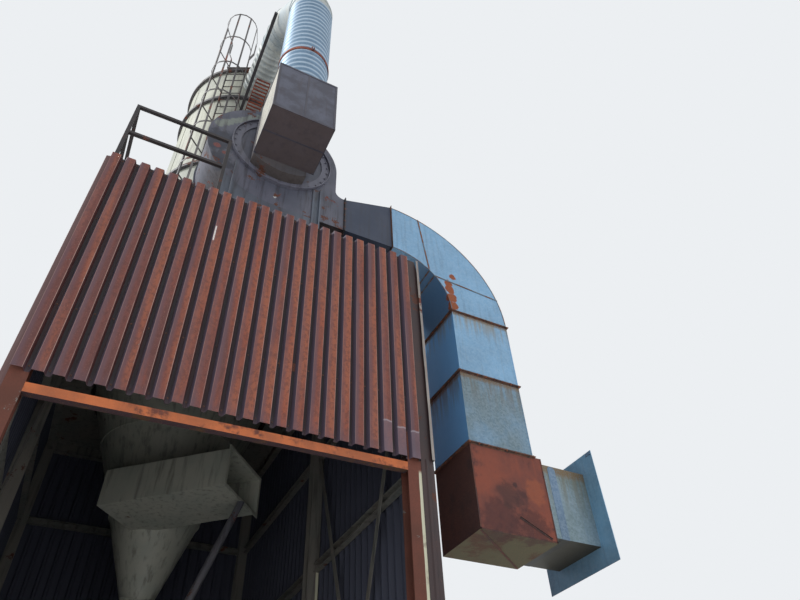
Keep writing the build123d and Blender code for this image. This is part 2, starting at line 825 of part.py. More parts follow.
def return_duct():
    """The level run into the filter house wall."""
    start_y = return_path()[-1][0]
    face = RegularPolygon(round_radius, duct_sides) - RegularPolygon(round_radius - round_wall, duct_sides)
    end = Plane(origin=(shaft_x, shell_y, return_z), x_dir=(1, 0, 0), z_dir=(0, -1, 0))
    run = riser_turn * extrude(end * face, shell_y - start_y)
    return run - house_core(shell_radius, plenum_level, shell_top)


def riser_clamp():
    """The clamp ring on the riser, with its bolted lug at the front."""
    low, high = clamp_level, clamp_level + clamp_width
    outer = round_radius + clamp_depth
    half = clamp_lug / 2
    ring = Pos(shaft_x, riser_y, 0) * tube(outer, clamp_depth, low, high, duct_sides)
    lug = block(shaft_x - half, shaft_x + half, riser_y - outer - half, riser_y - round_radius, low, high)
    core = Pos(shaft_x, riser_y, low) * RegularPolygon(round_radius, duct_sides)
    return riser_turn * (ring + lug - extrude(core, clamp_width))


def duct_outriggers():
    """Two bars from the filter house wall to either side of the leaning duct."""
    half = outrigger_size / 2
    low, high = outrigger_level, outrigger_level + outrigger_size
    wall = house_core(shell_radius, low - overcut, high + overcut)
    start = shell_y - shell_radius - outrigger_reach
    middles = (shaft_x - outrigger_spread, shaft_x + outrigger_spread)
    return [block(x - half, x + half, start, shell_y, low, high) - wall for x in middles]


def duct_rack():
    """The bar rack below the return duct: two side bars and the cross bars between them."""
    left, right = shaft_x + rack_left, shaft_x + rack_right
    start = shell_y - shell_radius - rack_reach
    low, level, high = rack_level - rack_bar, rack_level, rack_level + rack_bar
    side = rack_bar / 2
    pieces = [block(left, left + side, start, shell_y, low, high)]
    pieces.append(block(right - side, right, start, shell_y, low, high))
    for k in range(int(rack_reach // rack_bar_pitch)):
        y = start + k * rack_bar_pitch
        pieces.append(block(left, right, y, y + rack_bar, level, high))
    return fuse(pieces) - house_core(shell_radius, low, high)


save(tower_columns(), "tower_columns")
save(base_plates(), "base_plates")
beam_section, beam_middle = channel_section(front_beam_depth), front_opening_top + front_beam_depth / 2
save(along_x(beam_section, inner_left, inner_right, front_line, beam_middle), "front_beam")
save(wall_girts(), "wall_girts")
save(wall_braces(), "wall_braces")
save(deck_beams(), "deck_beams")
save(deck_plate(), "deck_plate")
save(corner_flashing(), "corner_flashing")

front_length = right_line - left_line
side_length = rear_line - front_line
front_sheet = ribbed_sheet(front_length, front_sheet_bottom, sheet_top)
side_sheet = ribbed_sheet(side_length, side_sheet_bottom, sheet_top)
rear_sheet = ribbed_sheet(front_length, side_sheet_bottom, sheet_top)
save(Pos(left_line, front_line, 0) * front_sheet, "front_siding")
save(Pos(right_line, front_line, 0) * Rot(0, 0, 90) * side_sheet, "right_siding")
save(Pos(left_line, rear_line, 0) * Rot(0, 0, -90) * side_sheet, "left_siding")
save(Pos(right_line, rear_line, 0) * Rot(0, 0, 180) * rear_sheet, "rear_siding")
save(guard_rail(), "deck_guard_rail")

save(filter_house_shell(), "filter_house_shell")
save([house_band(z) for z in (shell_top, plenum_level, middle_band_level)], "shell_bands")
save(house_core(shell_radius + band_depth, shell_top, shell_top + roof_thickness), "filter_house_roof")
ring_width = shell_radius + band_depth - hopper_top_radius
support = shell_place * tube(shell_radius + band_depth, ring_width, deck_level, shell_bottom, house_sides)
save(support, "support_ring")
hopper = hopper_core(0) - hopper_core(hopper_wall) - inlet_block(0, dirty_inlet_reach, -hopper_wall)
save(hopper, "hopper_cone")
save(discharge_valve(), "discharge_valve")
spout = tube(hopper_outlet_radius, hopper_wall, spout_top - spout_height, spout_top, spout_sides)
save(shell_place * spout, "discharge_spout")
save(dirty_inlet(), "dirty_air_inlet")
save(raking_prop(), "raking_prop")
save(ladder(), "ladder")
save(ladder_cage(), "ladder_cage")
save(roof_landing(), "roof_landing")
save(duct_outriggers(), "duct_outriggers")
save(duct_rack(), "duct_rack")

scroll_casing = fan_casing()
save(scroll_casing, "fan_casing")
save(fan_side_ring(), "fan_side_ring")
collar = RegularPolygon(collar_radius, collar_sides)
save(facing_front(collar, inlet_box_back, casing_front - side_ring_plate), "inlet_collar")
box_left, box_right = shaft_x - inlet_box_width / 2, shaft_x + inlet_box_width / 2
inlet_box = block(box_left, box_right, inlet_box_front, inlet_box_back, inlet_box_bottom, inlet_box_top)
save(inlet_box, "inlet_box")
save([fan_base(scroll_casing), motor_stand()], "fan_base")
save(fan_motor(), "fan_motor")

save(transition_core(0) - transition_core(duct_wall), "outlet_transition")
save(elbow_cheeks(), "elbow_cheeks")
save(discharge_elbow(), "discharge_elbow")
save(drop_duct(joint_2, joint_1), "upper_drop_duct")
save(drop_duct(joint_3, joint_2), "lower_drop_duct")
save(duct_flanges(scroll_casing), "duct_flanges")
save(turning_box(), "turning_box")
save(branch_duct(), "branch_duct")
save(wall_flange(), "wall_flange")

riser = Pos(shaft_x, riser_y, 0) * tube(round_radius, round_wall, inlet_box_top, riser_top, duct_sides)
save(riser_turn * riser, "riser_duct")
save(riser_clamp(), "riser_clamp_ring")
save(return_bend(), "return_bend")
save(return_duct(), "return_duct")
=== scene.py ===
"""Looks of the baghouse dust collector: a finish for every node, and finer pieces that replace some.

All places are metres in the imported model's frame: +X right along the sheeted front, +Y back, +Z up.
"""

from __future__ import annotations

import json
import logging
import math
from collections.abc import Sequence
from dataclasses import dataclass, replace
from enum import Enum

import bmesh
import bpy
from mathutils import Matrix, Vector
from mathutils import noise as field_noise

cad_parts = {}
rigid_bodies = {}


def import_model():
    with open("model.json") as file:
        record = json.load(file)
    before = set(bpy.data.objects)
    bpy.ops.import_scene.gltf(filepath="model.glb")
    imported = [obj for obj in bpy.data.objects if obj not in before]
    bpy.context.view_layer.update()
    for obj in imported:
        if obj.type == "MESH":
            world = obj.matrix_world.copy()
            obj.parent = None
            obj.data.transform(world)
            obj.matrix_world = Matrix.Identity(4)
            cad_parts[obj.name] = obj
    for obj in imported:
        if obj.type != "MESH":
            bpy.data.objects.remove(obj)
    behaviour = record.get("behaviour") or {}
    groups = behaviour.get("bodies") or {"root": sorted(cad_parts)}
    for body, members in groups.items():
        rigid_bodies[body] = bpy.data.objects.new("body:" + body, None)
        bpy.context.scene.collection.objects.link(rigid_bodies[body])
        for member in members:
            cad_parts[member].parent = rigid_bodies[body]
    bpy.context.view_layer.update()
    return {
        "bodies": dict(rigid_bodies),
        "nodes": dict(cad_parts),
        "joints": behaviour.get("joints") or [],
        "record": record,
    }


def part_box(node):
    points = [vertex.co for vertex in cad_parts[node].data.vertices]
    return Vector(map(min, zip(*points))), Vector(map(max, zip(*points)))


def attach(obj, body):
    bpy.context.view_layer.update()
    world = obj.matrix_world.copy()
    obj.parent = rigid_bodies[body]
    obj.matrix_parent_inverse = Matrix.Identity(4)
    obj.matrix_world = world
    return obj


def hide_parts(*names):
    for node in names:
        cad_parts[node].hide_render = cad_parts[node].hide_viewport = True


LOG = logging.getLogger("dust_collector")

Colour = tuple[float, float, float, float]
Pair = tuple[float, float]
Triple = tuple[float, float, float]
Mark = tuple[Triple, float, Colour]
Material = bpy.types.Material
Nodes = dict[str, bpy.types.Object]

FRONT = Vector((0.0, -1.0, 0.0))
BACK = Vector((0.0, 1.0, 0.0))
LEFT = Vector((-1.0, 0.0, 0.0))
RIGHT = Vector((1.0, 0.0, 0.0))
UP = Vector((0.0, 0.0, 1.0))
DOWN = Vector((0.0, 0.0, -1.0))

SMOOTH_BELOW = math.radians(32.0)


class Slot(Enum):
    """The record's material slots."""

    SHEETING = "sheeting"
    FRAME = "frame_steel"
    RUSTY = "rusty_steel"
    ZINC = "galvanised"
    FAN = "fan_paint"
    CREAM = "cream_paint"
    DARK = "dark_steel"
    RUSTY_DUCT = "rusty_duct"
    INSIDE = "inside_paint"


def tone(red: int, green: int, blue: int) -> Colour:
    """Turns a colour read from 0 to 255 into the linear values that a shader takes."""
    parts = [channel / 255.0 for channel in (red, green, blue)]
    linear = [part / 12.92 if part < 0.04045 else ((part + 0.055) / 1.055) ** 2.4 for part in parts]
    return (linear[0], linear[1], linear[2], 1.0)


def add_node(tree: bpy.types.NodeTree, kind: str, inputs: dict, **options: str | bool) -> bpy.types.Node:
    """Adds a shader node.

    Args:
        tree: The tree that it joins.
        kind: Its type, after "ShaderNode".
        inputs: What goes into each input, by name or number: a socket to link, or a plain value.
        **options: The node's own options.

    Returns:
        The node.
    """
    node = tree.nodes.new(f"ShaderNode{kind}")
    for option, choice in options.items():
        setattr(node, option, choice)
    for key, value in inputs.items():
        if isinstance(value, bpy.types.NodeSocket):
            tree.links.new(value, node.inputs[key])
        else:
            node.inputs[key].default_value = value
    return node


class Field:
    """A value or colour of a finish that changes over the surface."""

    def __init__(self, mix: Recipe, socket: bpy.types.NodeSocket) -> None:
        """Holds a node's result, and the recipe that the node belongs to."""
        self.mix, self.socket = mix, socket

    def __add__(self, other: Value) -> Field:
        """Returns the sum."""
        return self.mix.math("ADD", self, other)

    def __sub__(self, other: Value) -> Field:
        """Returns the difference."""
        return self.mix.math("SUBTRACT", self, other)

    def __rsub__(self, other: float) -> Field:
        """Returns a number less the field."""
        return self.mix.math("SUBTRACT", other, self)

    def __mul__(self, other: Value) -> Field:
        """Returns the product."""
        return self.mix.math("MULTIPLY", self, other)

    def __truediv__(self, other: Value) -> Field:
        """Returns the quotient."""
        return self.mix.math("DIVIDE", self, other)

    def step(self, low: float, high: float) -> Field:
        """Returns a smooth step, which is 0 at the first value and 1 at the second."""
        inputs = dict(enumerate((self, low, high, 0.0, 1.0)))
        return self.mix.field("MapRange", inputs, 0, interpolation_type="SMOOTHSTEP")

    def band(self, middle: float, half: float, soft: float) -> Field:
        """Marks a band of values.

        Args:
            middle: The band's middle.
            half: Half its width.
            soft: How far its edges fade.

        Returns:
            1 inside the band and 0 outside.
        """
        return self.mix.math("ABSOLUTE", self - middle).step(half + soft, half)


Value = float | Field
Shade = Colour | Field


class Recipe:
    """The node tree of one finish while it is being mixed, coat by coat."""

    def __init__(self, name: str, colour: Colour) -> None:
        """Starts a finish under its name, with its first coat."""
        self.material = bpy.data.materials.new(name)
        self.material.use_nodes = True
        self.tree = self.material.node_tree
        self.tree.nodes.clear()
        self.colour: Shade = colour
        self.bumps: dict[str, Field] = {}
        self.place = self.field("TexCoord", {}, "Object")
        self.normal = self.field("NewGeometry", {}, "Normal")

    def node(self, kind: str, inputs: dict, **options: str | bool) -> bpy.types.Node:
        """Adds a node as add_node does, with fields among its inputs."""
        plain = {key: value.socket if isinstance(value, Field) else value for key, value in inputs.items()}
        return add_node(self.tree, kind, plain, **options)

    def field(self, kind: str, inputs: dict, output: int | str, **options: str | bool) -> Field:
        """Adds a node and returns one of its outputs."""
        return Field(self, self.node(kind, inputs, **options).outputs[output])

    def math(self, operation: str, first: Value, second: Value = 0.0) -> Field:
        """Returns the result of a Math node."""
        return self.field("Math", {0: first, 1: second}, 0, operation=operation)

    def vectors(self, operation: str, first: Field, second: Sequence[float], output: str = "Value") -> Field:
        """Returns the result of a Vector Math node."""
        return self.field("VectorMath", {0: first, 1: second}, output, operation=operation)

    def along(self, direction: Sequence[float]) -> Field:
        """Returns how far each place lies along a direction of length 1."""
        return self.vectors("DOT_PRODUCT", self.place, direction)

    def faces(self, direction: Sequence[float]) -> Field:
        """Returns how far each place faces a direction: 1 squarely, and -1 away from it."""
        return self.vectors("DOT_PRODUCT", self.normal, direction)

    def near(self, spot: Triple, radius: float, soft: float) -> Field:
        """Marks a round place with 1, fading to 0 beyond its radius."""
        return self.vectors("DISTANCE", self.place, spot).step(radius + soft, radius)

    def off_axis(self, spot: Triple, direction: Triple) -> Field:
        """Returns how far each place lies from an axis through a spot."""
        arm = self.vectors("SUBTRACT", self.place, spot, "Vector")
        square = self.vectors("CROSS_PRODUCT", arm, direction, "Vector")
        return self.vectors("LENGTH", square, (0.0, 0.0, 0.0))

    def most(self, fields: Sequence[Field]) -> Field:
        """Returns the largest of some values at each place."""
        result = fields[0]
        for other in fields[1:]:
            result = self.math("MAXIMUM", result, other)
        return result

    def grain(self, size: float, rise: float = 1.0, detail: float = 5.0) -> Field:
        """Adds a cloudy pattern.

        Args:
            size: The size of its largest clouds.
            rise: Below 1, the clouds are drawn out upwards.
            detail: How many finer layers it has.

        Returns:
            A value about 0.5.
        """
        place = self.field("Mapping", {"Vector": self.place, "Scale": (1.0, 1.0, rise)}, 0)
        inputs = {"Vector": place, "Scale": 1.0 / size, "Detail": detail, "Roughness": 0.62}
        return self.field("TexNoise", inputs, 0)

    def flakes(self, size: float) -> Field:
        """Returns a pattern of crystals of a size, each with its own value from 0 to 1."""
        cells = self.field("TexVoronoi", {"Vector": self.place, "Scale": 1.0 / size}, "Color")
        return self.field("SeparateColor", {0: cells}, 0)

    def blend(self, amount: Value, first: Shade, second: Shade) -> Field:
        """Returns two colours mixed: the amount says how much of the second shows."""
        return self.field("Mix", {0: amount, 6: first, 7: second}, 2, data_type="RGBA", clamp_factor=True)

    def coat(self, amount: Value, colour: Shade) -> None:
        """Lays a colour over the finish; the amount says how much of it shows."""
        self.colour = self.blend(amount, self.colour, colour)

    def mark(self, marks: Sequence[Mark], strength: float = 0.9) -> None:
        """Lays ragged round marks over the finish, each with a place, a radius and a colour."""
        ragged = (self.grain(0.09) - 0.5) * 1.6
        for spot, radius, colour in marks:
            inside = self.near(spot, radius * 0.2, radius * 1.2) + ragged
            self.coat(inside.step(0.35, 0.85) * strength, colour)

    def relief(self, height: Field, depth: float) -> None:
        """Adds relief: a pattern of heights, and the depth in metres that its height of 1 stands for."""
        inputs = {"Strength": 1.0, "Distance": depth, "Height": height, **self.bumps}
        self.bumps = {"Normal": self.field("Bump", inputs, 0)}

    def close(self, roughness: Value, metallic: float = 0.0) -> Material:
        """Ends the finish with its roughness and its share of bare metal, and returns the material."""
        inputs = {"Base Color": self.colour, "Roughness": roughness, "Metallic": metallic, **self.bumps}
        self.node("OutputMaterial", {0: self.field("BsdfPrincipled", inputs, 0)})
        return self.material


@dataclass(frozen=True)
class SheetingFinish:
    """Oxide-red paint on ribbed sheeting, with painted light and shade: a cool dull tone on each rib's left
    half, painted highlights on the worn fold lines, painted shade in the valleys, and painted light and shade
    on the webs.
    """

    name: str
    outward: Triple
    valley: float
    first: float
    depth: float = 0.057
    pitch: float = 0.158
    bottom: float = 4.84
    glow_at: float = 2.1
    glow_width: float = 1.5
    scratch: Triple | None = None
    kinks: tuple[Pair, ...] = ()

    def make(self) -> Material:
        """Mixes the finish and returns it."""
        mix = Recipe(self.name, tone(110, 60, 52))
        side = (-self.outward[1], self.outward[0], 0.0)
        level = (mix.along(self.outward) - self.valley) / self.depth
        along, height = mix.along(side), mix.along(UP)
        across = mix.math("FRACT", (along - self.first) / self.pitch)
        runs, broad, rib = mix.grain(0.055, 0.07), mix.grain(0.75, 0.45, 3.0), mix.grain(0.20, 0.10, 2.0)
        speckle, fine = mix.grain(0.030, 0.7), mix.grain(0.011)
        mix.coat(along.band(self.glow_at, 0.2, self.glow_width) * broad.step(0.3, 0.6), tone(146, 74, 48))
        mix.coat(rib.step(0.46, 0.62) * 0.8, tone(150, 84, 58))
        mix.coat(rib.step(0.44, 0.34) * 0.7, tone(92, 56, 54))
        mix.coat(speckle.step(0.44, 0.62) * 0.55, tone(88, 48, 42))
        mix.coat(fine.step(0.56, 0.70) * 0.45, tone(174, 122, 104))
        # Painted light and shade: a cool, dull tone over the left half of each rib.
        mix.coat(across.step(0.56, 0.30) * (rib.step(0.62, 0.36) * 0.45 + 0.45), tone(98, 70, 76))
        # Painted shade: the valleys darken.
        mix.coat(level.step(0.90, 0.74), mix.blend(runs.step(0.42, 0.66), tone(32, 22, 26), tone(50, 30, 32)))
        # Painted highlights along the fold lines, stronger on one side, mixed with chalky wear.
        for middle, strength in ((0.785, 0.75), (0.215, 0.35)):
            line = across.band(middle, 0.012, 0.020) * level.step(0.86, 0.95)
            line = line * mix.grain(0.2, 0.2).step(0.34, 0.55)
            mix.coat(line * strength, tone(184, 150, 138))
        # Painted shade on the webs that face right; painted light, a cool grey, on the webs that face left.
        sideways = mix.faces(side)
        mix.coat(sideways.step(0.40, 0.75), tone(74, 36, 34))
        mix.coat(sideways.step(-0.40, -0.75), tone(82, 70, 84))
        wet = height + runs * 0.35
        mix.coat(wet.step(self.bottom + 0.36, self.bottom + 0.12) * 0.45, tone(84, 68, 78))
        # Crushed rib ends: a grey scuff with painted sheen, and a painted highlight along each kink.
        for middle, top in self.kinks:
            crest = along.band(middle, 0.050, 0.006) * level.step(0.60, 0.90)
            ragged = height + runs * 0.05
            mix.coat(crest * ragged.step(top + 0.045, top + 0.025) * 0.55, tone(104, 92, 104))
            mix.coat(crest * ragged.band(top + 0.035, 0.004, 0.010) * 0.6, tone(158, 150, 156))
        if self.scratch is not None:
            middle, height_at, half = self.scratch
            line = along.band(middle, 0.006, 0.004) * fine.step(0.34, 0.46)
            mix.coat(line * height.band(height_at, half, 0.02), tone(222, 214, 208))
        # Inside faces: a blue-grey back coat, its blue a painted stand-in for the cool shade light inside.
        mix.coat(mix.faces(self.outward).step(-0.10, -0.22), tone(64, 66, 80))
        mix.relief(fine, 0.0012)
        mix.relief(runs, 0.0016)
        return mix.close(runs * 0.35 + 0.50)


@dataclass(frozen=True)
class ZincFinish:
    """Galvanised sheet: crystals, dull weather marks, rust and stains below the joints; its blue cast is a
    painted sky reflection, with painted shade on left and downward faces and painted highlights and shade on
    spiral ribs.
    """

    name: str
    # Painted reflection: the blue cast of these tones stands in for sky reflected in the zinc.
    bright: Colour = tone(122, 164, 196)
    dull: Colour = tone(112, 148, 176)
    cloudiness: float = 0.6
    left_painted_shade: float = 0.85
    left_painted_shade_tone: Colour = tone(78, 122, 164)
    under: Colour | None = None
    joints: tuple[float, ...] = ()
    stain: Colour = tone(140, 124, 92)
    stain_drop: float = 0.42
    stain_strength: float = 0.6
    rust_spots: tuple[tuple[Triple, float], ...] = ()
    ribs: tuple[Triple, Triple, float, float] | None = None
    painted_rib_contrast: float = 0.5
    roughness: float = 0.42

    def make(self) -> Material:
        """Mixes the finish and returns it."""
        mix = Recipe(self.name, self.bright)
        crystals, weather = mix.flakes(0.022), mix.grain(0.55)
        runs, fine = mix.grain(0.05, 0.07), mix.grain(0.01)
        mix.coat(weather.step(0.34, 0.68) * self.cloudiness, self.dull)
        mix.coat(runs.step(0.50, 0.68) * 0.35, tone(92, 120, 142))
        mix.coat(crystals * 0.14, tone(204, 218, 228))
        # Painted shade in the troughs and painted highlights on the crests of the spiral ribs.
        if self.ribs is not None:
            spot, direction, low, high = self.ribs
            crest = mix.off_axis(spot, direction).step(low, high)
            mix.coat((1.0 - crest) * self.painted_rib_contrast, tone(72, 98, 122))
            mix.coat(crest.step(0.7, 1.0) * (self.painted_rib_contrast * 0.7), tone(214, 226, 234))
        # Painted shade: faces turned to the left take a darker, bluer tone.
        mix.coat(mix.faces(LEFT).step(0.3, 0.9) * self.left_painted_shade, self.left_painted_shade_tone)
        # Painted shade: downward faces take a darker tone.
        if self.under is not None:
            mix.coat(mix.faces(DOWN).step(0.3, 0.8), self.under)
        if self.joints:
            height = mix.along(UP)
            drops = [joint - height for joint in self.joints]
            marks = mix.most([drop.step(self.stain_drop, 0.02) * drop.step(-0.03, 0.0) for drop in drops])
            mix.coat(marks * runs.step(0.38, 0.60) * self.stain_strength, self.stain)
            mix.coat(marks.step(0.94, 1.0) * fine.step(0.36, 0.55), tone(118, 92, 60))
        rough = weather * 0.2 + self.roughness
        if self.rust_spots:
            spots = [mix.near(spot, radius * 0.3, radius * 1.1) for spot, radius in self.rust_spots]
            inside = mix.most(spots)
            ragged = (mix.grain(0.12) - 0.5) * 2.0
            patch = (inside + ragged).step(0.50, 0.70) * inside.step(0.02, 0.2)
            mix.coat(patch, mix.blend(fine.step(0.42, 0.60), tone(170, 98, 66), tone(120, 70, 50)))
            rough = mix.most([rough, patch * 0.85])
        mix.relief(mix.grain(0.6, detail=2.0), 0.010)
        mix.relief(crystals, 0.0003)
        return mix.close(rough, 0.35)


@dataclass(frozen=True)
class PaintFinish:
    """Old paint on plate: chalky patches, primer and rust where it flakes, dirt running down; it can take
    painted shade towards the right and on downward faces, and painted light on left faces.
    """

    name: str
    paint: Colour
    faded: Colour
    primer: Colour = tone(112, 58, 46)
    rust: Colour = tone(92, 58, 44)
    flaking: float = 0.30
    rusting: float = 0.30
    dirt: Colour = tone(40, 36, 36)
    dirtiness: float = 0.5
    patch: float = 0.35
    roughness: float = 0.55
    shade_at: float | None = None
    shade: Colour = tone(92, 88, 92)
    under: Colour | None = None
    left_painted_light: Colour | None = None
    worn_before: float | None = None
    stripe: Triple | None = None
    marks: tuple[Mark, ...] = ()

    def make(self) -> Material:
        """Mixes the finish and returns it."""
        mix = Recipe(self.name, self.paint)
        broad, flake = mix.grain(self.patch * 2.2, detail=3.0), mix.grain(self.patch)
        runs, fine = mix.grain(0.07, 0.09), mix.grain(0.014)
        mix.coat(broad.step(0.34, 0.64), self.faded)
        # Painted shade: the paint darkens towards the right.
        if self.shade_at is not None:
            side = mix.along(RIGHT) + flake * 0.5
            mix.coat(side.step(self.shade_at, self.shade_at + 1.5), self.shade)
        # Painted shade: downward faces take a darker tone.
        if self.under is not None:
            mix.coat(mix.faces(DOWN).step(0.3, 0.8) * 0.85, self.under)
        # Painted light: left faces take a pale, sunny tone in patches.
        if self.left_painted_light is not None:
            mix.coat(mix.faces(LEFT).step(0.5, 0.9) * fine.step(0.70, 0.55), self.left_painted_light)
        if self.marks:
            mix.mark(self.marks)
        mix.coat(runs.step(0.48, 0.70) * self.dirtiness, self.dirt)
        torn = flake + fine * 0.22
        if self.worn_before is not None:
            torn = torn + mix.along(BACK).step(self.worn_before + 0.05, self.worn_before) * 0.28
        bare = torn.step(0.86 - self.flaking * 0.42, 0.89 - self.flaking * 0.42)
        worn = mix.blend(broad.step(0.36, 0.62), self.primer, self.rust)
        mix.coat(bare, mix.blend(fine.step(0.42, 0.60) * 0.5, worn, self.rust))
        mix.coat(fine.step(0.74 - self.rusting * 0.3, 0.80 - self.rusting * 0.3) * 0.8, self.rust)
        if self.stripe is not None:
            middle, half, top = self.stripe
            line = (mix.along(RIGHT) + (runs - 0.5) * (half * 1.6)).band(middle, half, 0.006)
            line = line * mix.faces(FRONT).step(0.5, 0.9) * mix.along(UP).step(top, top - 0.05)
            mix.coat(line * flake.step(0.30, 0.46), tone(200, 196, 170))
        mix.relief(1.0 - bare, 0.0015)
        mix.relief(fine, 0.0010)
        mix.relief(mix.grain(0.7, detail=2.0), 0.006)
        return mix.close(bare * 0.3 + self.roughness)


@dataclass(frozen=True)
class RustFinish:
    """Bare steel that has rusted through: bright new rust, dark scale and pale edges; it can take painted
    shade on left and downward faces.
    """

    name: str
    bright: Colour = tone(156, 86, 52)
    body: Colour = tone(112, 62, 44)
    scale: Colour = tone(58, 38, 36)
    size: float = 0.16
    left_painted_shade: Colour | None = None
    under: Colour | None = None
    spots: tuple[Mark, ...] = ()

    def make(self) -> Material:
        """Mixes the finish and returns it."""
        mix = Recipe(self.name, self.body)
        broad, blots = mix.grain(self.size * 2.5), mix.grain(self.size)
        runs, fine = mix.grain(0.05, 0.10), mix.grain(0.008)
        mix.coat(broad.step(0.38, 0.62), self.bright)
        mix.coat(blots.step(0.52, 0.66), self.scale)
        mix.coat(runs.step(0.54, 0.70) * 0.6, self.bright)
        # Painted shade: left faces take a darker tone.
        if self.left_painted_shade is not None:
            mix.coat(mix.faces(LEFT).step(0.3, 0.9) * 0.85, self.left_painted_shade)
        # Painted shade on downward faces, blotched with brown stain.
        if self.under is not None:
            underside_shade_and_stain = mix.blend(blots.step(0.50, 0.64), self.under, tone(84, 58, 38))
            mix.coat(mix.faces(DOWN).step(0.3, 0.8), underside_shade_and_stain)
        if self.spots:
            mix.mark(self.spots, 0.65)
        mix.coat(fine.step(0.56, 0.70) * 0.4, tone(178, 128, 96))
        mix.relief(blots, 0.003)
        mix.relief(fine, 0.0010)
        return mix.close(0.82)


def spread(low: float, high: float, steps: int) -> list[float]:
    """Returns evenly spaced values from one end to the other, both included."""
    return [low + (high - low) * k / steps for k in range(steps + 1)]


def arc(start: float, end: float, steps: int, radius: float = 1.0, centre: Pair = (0.0, 0.0)) -> list[Pair]:
    """Returns evenly spaced points on an arc.

    Args:
        start: The angle of its first point.
        end: The angle of its last point.
        steps: The number of steps between them.
        radius: Its radius.
        centre: Its centre.

    Returns:
        The points, both ends included.
    """
    turns = spread(start, end, steps)
    return [(centre[0] + radius * math.cos(turn), centre[1] + radius * math.sin(turn)) for turn in turns]


def circle(count: int, shift: float = 0.0) -> list[Pair]:
    """Returns evenly spaced points on a circle of radius 1, shifted by a share of a step."""
    start = math.tau * shift / count
    return arc(start, start + math.tau, count)[:-1]


def rectangle(left: float, right: float, low: float, high: float) -> list[Pair]:
    """Returns the corners of a rectangle, in order round it."""
    return [(left, low), (right, low), (right, high), (left, high)]


def at_x(x: float, outline: Sequence[Pair]) -> list[Vector]:
    """Stands an outline of Y and Z at a place along X."""
    return [Vector((x, y, z)) for y, z in outline]


def at_y(y: float, outline: Sequence[Pair]) -> list[Vector]:
    """Stands an outline of X and Z at a place along Y."""
    return [Vector((x, y, z)) for x, z in outline]


def at_z(z: float, outline: Sequence[Pair]) -> list[Vector]:
    """Lays an outline of X and Y at a height."""
    return [Vector((x, y, z)) for x, y in outline]


def corners_of(node: str) -> tuple[Vector, Vector]:
    """Returns the lowest and highest corners of a node."""
    low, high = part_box(node)
    return Vector(low), Vector(high)


def radius_of(node: str) -> float:
    """Returns the radius of a round node, from its width."""
    low, high = corners_of(node)
    return (high.x - low.x) / 2


def front_and_back(low: Vector, high: Vector) -> tuple[tuple[float, Vector], tuple[float, Vector]]:
    """Returns the Y of a box's front and back faces, each with the way it faces."""
    return (low.y, FRONT), (high.y, BACK)


